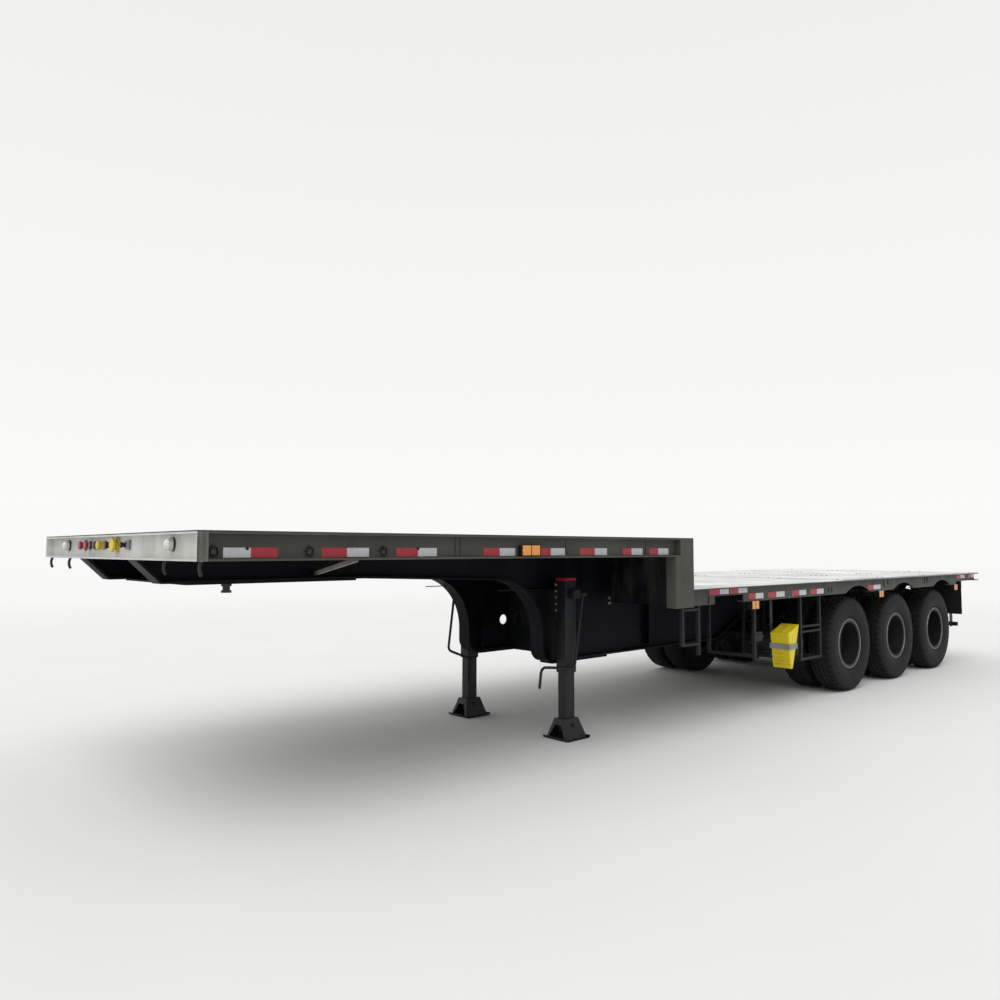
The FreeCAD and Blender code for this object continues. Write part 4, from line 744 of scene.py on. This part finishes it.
# Welded ledges and bolts on the outer face of each beam's web: start, end, low and high edge
WEB_FACE = 0.506
WEB_LEDGE = 0.006
WEB_STRIPS = [
    (2.90, 3.30, 1.283, 1.291), (4.292, 5.30, 1.190, 1.197), (4.927, 4.935, 0.690, 1.085),
    (4.476, 4.482, 1.20, 1.268), (4.560, 4.566, 1.20, 1.268),
]
WEB_BOLT_BACK = 4.322
WEB_BOLT_HEIGHTS = (1.120, 1.172)
WEB_WASHER = 0.004
for word, side in SIDES:
    bm = bmesh.new()
    for start, end, low, high in WEB_STRIPS:
        side_box(bm, side, (start, end), (WEB_FACE, WEB_FACE + WEB_LEDGE), (low, high), bevel=0.001)
    for z in WEB_BOLT_HEIGHTS:
        add_stud(bm, at(WEB_BOLT_BACK, side * WEB_FACE, z), (0, side, 0), 0.014, WEB_WASHER,
                 sides=14, mat=1)
        add_stud(bm, at(WEB_BOLT_BACK, side * (WEB_FACE + WEB_WASHER), z), (0, side, 0), 0.010,
                 0.010, mat=1)
    place_piece("web_ledges_" + word, bm, ["dark", "bright"])

# Lamp housings round the amber lamps: the lamp's ends, its low and high edge, its face and depth
LAMP_ENDS = [
    (2.280, 2.450, 1.590, 1.660, 1.470, 0.031), (5.315, 5.435, 1.062, 1.136, 1.453, 0.05),
    (8.181, 8.301, 1.062, 1.136, 1.453, 0.05), (10.680, 10.800, 1.062, 1.136, 1.453, 0.05),
]
HOUSING_FRONT = 0.016
HOUSING_REAR = 0.010
HOUSING_LIP = 0.003
MIDDLE_BAR_HALF = 0.003
MIDDLE_BAR_LIP = 0.002
for word, side in SIDES:
    bm = bmesh.new()
    for start, end, low, high, face, depth in LAMP_ENDS:
        for ends in ((start - HOUSING_FRONT, start), (end, end + HOUSING_REAR)):
            side_box(bm, side, ends, (face - depth, face + HOUSING_LIP), (low - HOUSING_LIP, high),
                     bevel=0.003)
        middle = (start + end) / 2
        side_box(bm, side, (middle - MIDDLE_BAR_HALF, middle + MIDDLE_BAR_HALF),
                 (face - depth, face + MIDDLE_BAR_LIP), (low - MIDDLE_BAR_LIP, high), bevel=0.001)
    place_piece("lamp_frames_" + word, bm, ["dark"])

# U-bolts that clamp each spring to its axle, with their nuts
BEAM_Y = 0.5
U_BOLT_OFFSETS = (-0.072, 0.072)
U_BOLT_HALF = 0.054
U_BOLT_LOW = 0.435
U_BOLT_BEND = 0.760
U_BOLT_CROWN = 0.022
U_BOLT_NUT_Z = 0.4535
for word, side in SIDES:
    bm = bmesh.new()
    for back in AXLE_BACK.values():
        for ds in U_BOLT_OFFSETS:
            path = [(-U_BOLT_HALF, U_BOLT_LOW), (-U_BOLT_HALF, U_BOLT_BEND)]
            for step in range(1, 8):
                angle = math.pi * step / 8
                path.append((-U_BOLT_HALF * math.cos(angle),
                             U_BOLT_BEND + U_BOLT_CROWN * math.sin(angle)))
            path += [(U_BOLT_HALF, U_BOLT_BEND), (U_BOLT_HALF, U_BOLT_LOW)]
            points = [at(back + ds, side * (BEAM_Y + y), z) for y, z in path]
            add_tube(bm, points, 0.009, (1, 0, 0))
            for y in (-U_BOLT_HALF, U_BOLT_HALF):
                foot = at(back + ds, side * (BEAM_Y + y), U_BOLT_NUT_Z)
                add_stud(bm, foot, (0, 0, -1), 0.017, 0.016)
    place_piece("spring_bolts_" + word, bm, ["spring"])


# Stage, lights and camera
FLOOR_FADE = (10.0, 26.0)
FLOOR_HALF = 40.0
FLOOR_DROP = 0.001
WORLD_LIGHT = 0.62
HORIZON = 0.05


def stage_material():
    """Pale floor that thins out with distance, so that it meets the backdrop without a line."""
    mat, nt, bsdf = new_material("floor_pale")
    place = coords(nt)
    drift = noise(nt, place, 0.6, 3.0)
    share = ramp(nt, drift, [(0.3, 0.0), (0.7, 1.0)])
    tone = mix(nt, share, srgb(242, 242, 240), srgb(244, 244, 242))
    nt.links.new(tone, bsdf.inputs["Base Color"])
    bsdf.inputs["Roughness"].default_value = 0.9
    bsdf.inputs["Specular IOR Level"].default_value = 0.0
    length = node(nt, "ShaderNodeVectorMath", operation="LENGTH")
    nt.links.new(place, length.inputs[0])
    fade = node(nt, "ShaderNodeMapRange", interpolation_type="SMOOTHSTEP")
    nt.links.new(length.outputs["Value"], fade.inputs["Value"])
    for key, value in zip(("From Min", "From Max", "To Min", "To Max"), (*FLOOR_FADE, 0.0, 1.0)):
        fade.inputs[key].default_value = value
    clear = node(nt, "ShaderNodeBsdfTransparent")
    blend = node(nt, "ShaderNodeMixShader")
    nt.links.new(fade.outputs["Result"], blend.inputs[0])
    nt.links.new(bsdf.outputs[0], blend.inputs[1])
    nt.links.new(clear.outputs[0], blend.inputs[2])
    nt.links.new(blend.outputs[0], nt.nodes["Material Output"].inputs["Surface"])
    return mat


bm = bmesh.new()
bmesh.ops.create_grid(bm, x_segments=8, y_segments=8, size=FLOOR_HALF)
mesh = bpy.data.meshes.new("studio_floor")
bm.to_mesh(mesh)
bm.free()
mesh.materials.append(stage_material())
floor = bpy.data.objects.new("studio_floor", mesh)
floor.location.z = -FLOOR_DROP
bpy.context.scene.collection.objects.link(floor)

# The world lights evenly, and shows a backdrop that is palest at the horizon
world = bpy.data.worlds.new("studio")
bpy.context.scene.world = world
world.use_nodes = True
nt = world.node_tree
for old in list(nt.nodes):
    nt.nodes.remove(old)
out = nt.nodes.new("ShaderNodeOutputWorld")
light = nt.nodes.new("ShaderNodeBackground")
light.inputs["Color"].default_value = (1.0, 1.0, 1.0, 1.0)
light.inputs["Strength"].default_value = WORLD_LIGHT
seen = nt.nodes.new("ShaderNodeBackground")
seen.inputs["Strength"].default_value = 1.0
direction = node(nt, "ShaderNodeSeparateXYZ")
nt.links.new(node(nt, "ShaderNodeTexCoord").outputs["Generated"], direction.inputs[0])
height = maths(nt, "ABSOLUTE", maths(nt, "SUBTRACT", direction.outputs["Z"], HORIZON))
backdrop = ramp(nt, height, [(0.0, srgb(250, 250, 249)), (0.5, srgb(240, 240, 238))])
nt.links.new(backdrop, seen.inputs["Color"])
path = nt.nodes.new("ShaderNodeLightPath")
either = maths(nt, "MAXIMUM", path.outputs["Is Camera Ray"], path.outputs["Is Glossy Ray"])
either = maths(nt, "MAXIMUM", either, path.outputs["Is Transmission Ray"])
choose = nt.nodes.new("ShaderNodeMixShader")
nt.links.new(either, choose.inputs[0])
nt.links.new(light.outputs[0], choose.inputs[1])
nt.links.new(seen.outputs[0], choose.inputs[2])
nt.links.new(choose.outputs[0], out.inputs["Surface"])


def sun(name, towards, power, spread):
    data = bpy.data.lights.new(name, "SUN")
    data.energy = power
    data.angle = math.radians(spread)
    obj = bpy.data.objects.new(name, data)
    obj.location = Vector(towards) * 10.0
    obj.rotation_euler = Vector(towards).to_track_quat("Z", "Y").to_euler()
    bpy.context.scene.collection.objects.link(obj)


# Soft lamps, each by the direction that its light comes from
sun("key", (0.45, 0.40, 0.80), 1.15, 50.0)
sun("fill", (0.60, -0.50, 0.62), 0.35, 80.0)

# Camera as fitted to the photo: place, turn off the long axis, upward tilt
CAMERA_AHEAD = 1.576
CAMERA_Y = 5.568
CAMERA_Z = 1.63
YAW = math.radians(46.735)
PITCH = math.radians(3.547)
data = bpy.data.cameras.new("photo_camera")
data.lens = 28.86
data.sensor_width = 36.0
data.sensor_fit = "HORIZONTAL"
data.shift_x = -0.0229
data.clip_end = 400.0
camera = bpy.data.objects.new("photo_camera", data)
camera.location = (HALF + CAMERA_AHEAD, CAMERA_Y, CAMERA_Z)
level = math.cos(PITCH)
look = Vector((-math.cos(YAW) * level, -math.sin(YAW) * level, math.sin(PITCH)))
camera.rotation_euler = look.to_track_quat("-Z", "Y").to_euler()
bpy.context.scene.collection.objects.link(camera)
bpy.context.scene.camera = camera
bpy.context.scene.view_settings.view_transform = "Standard"
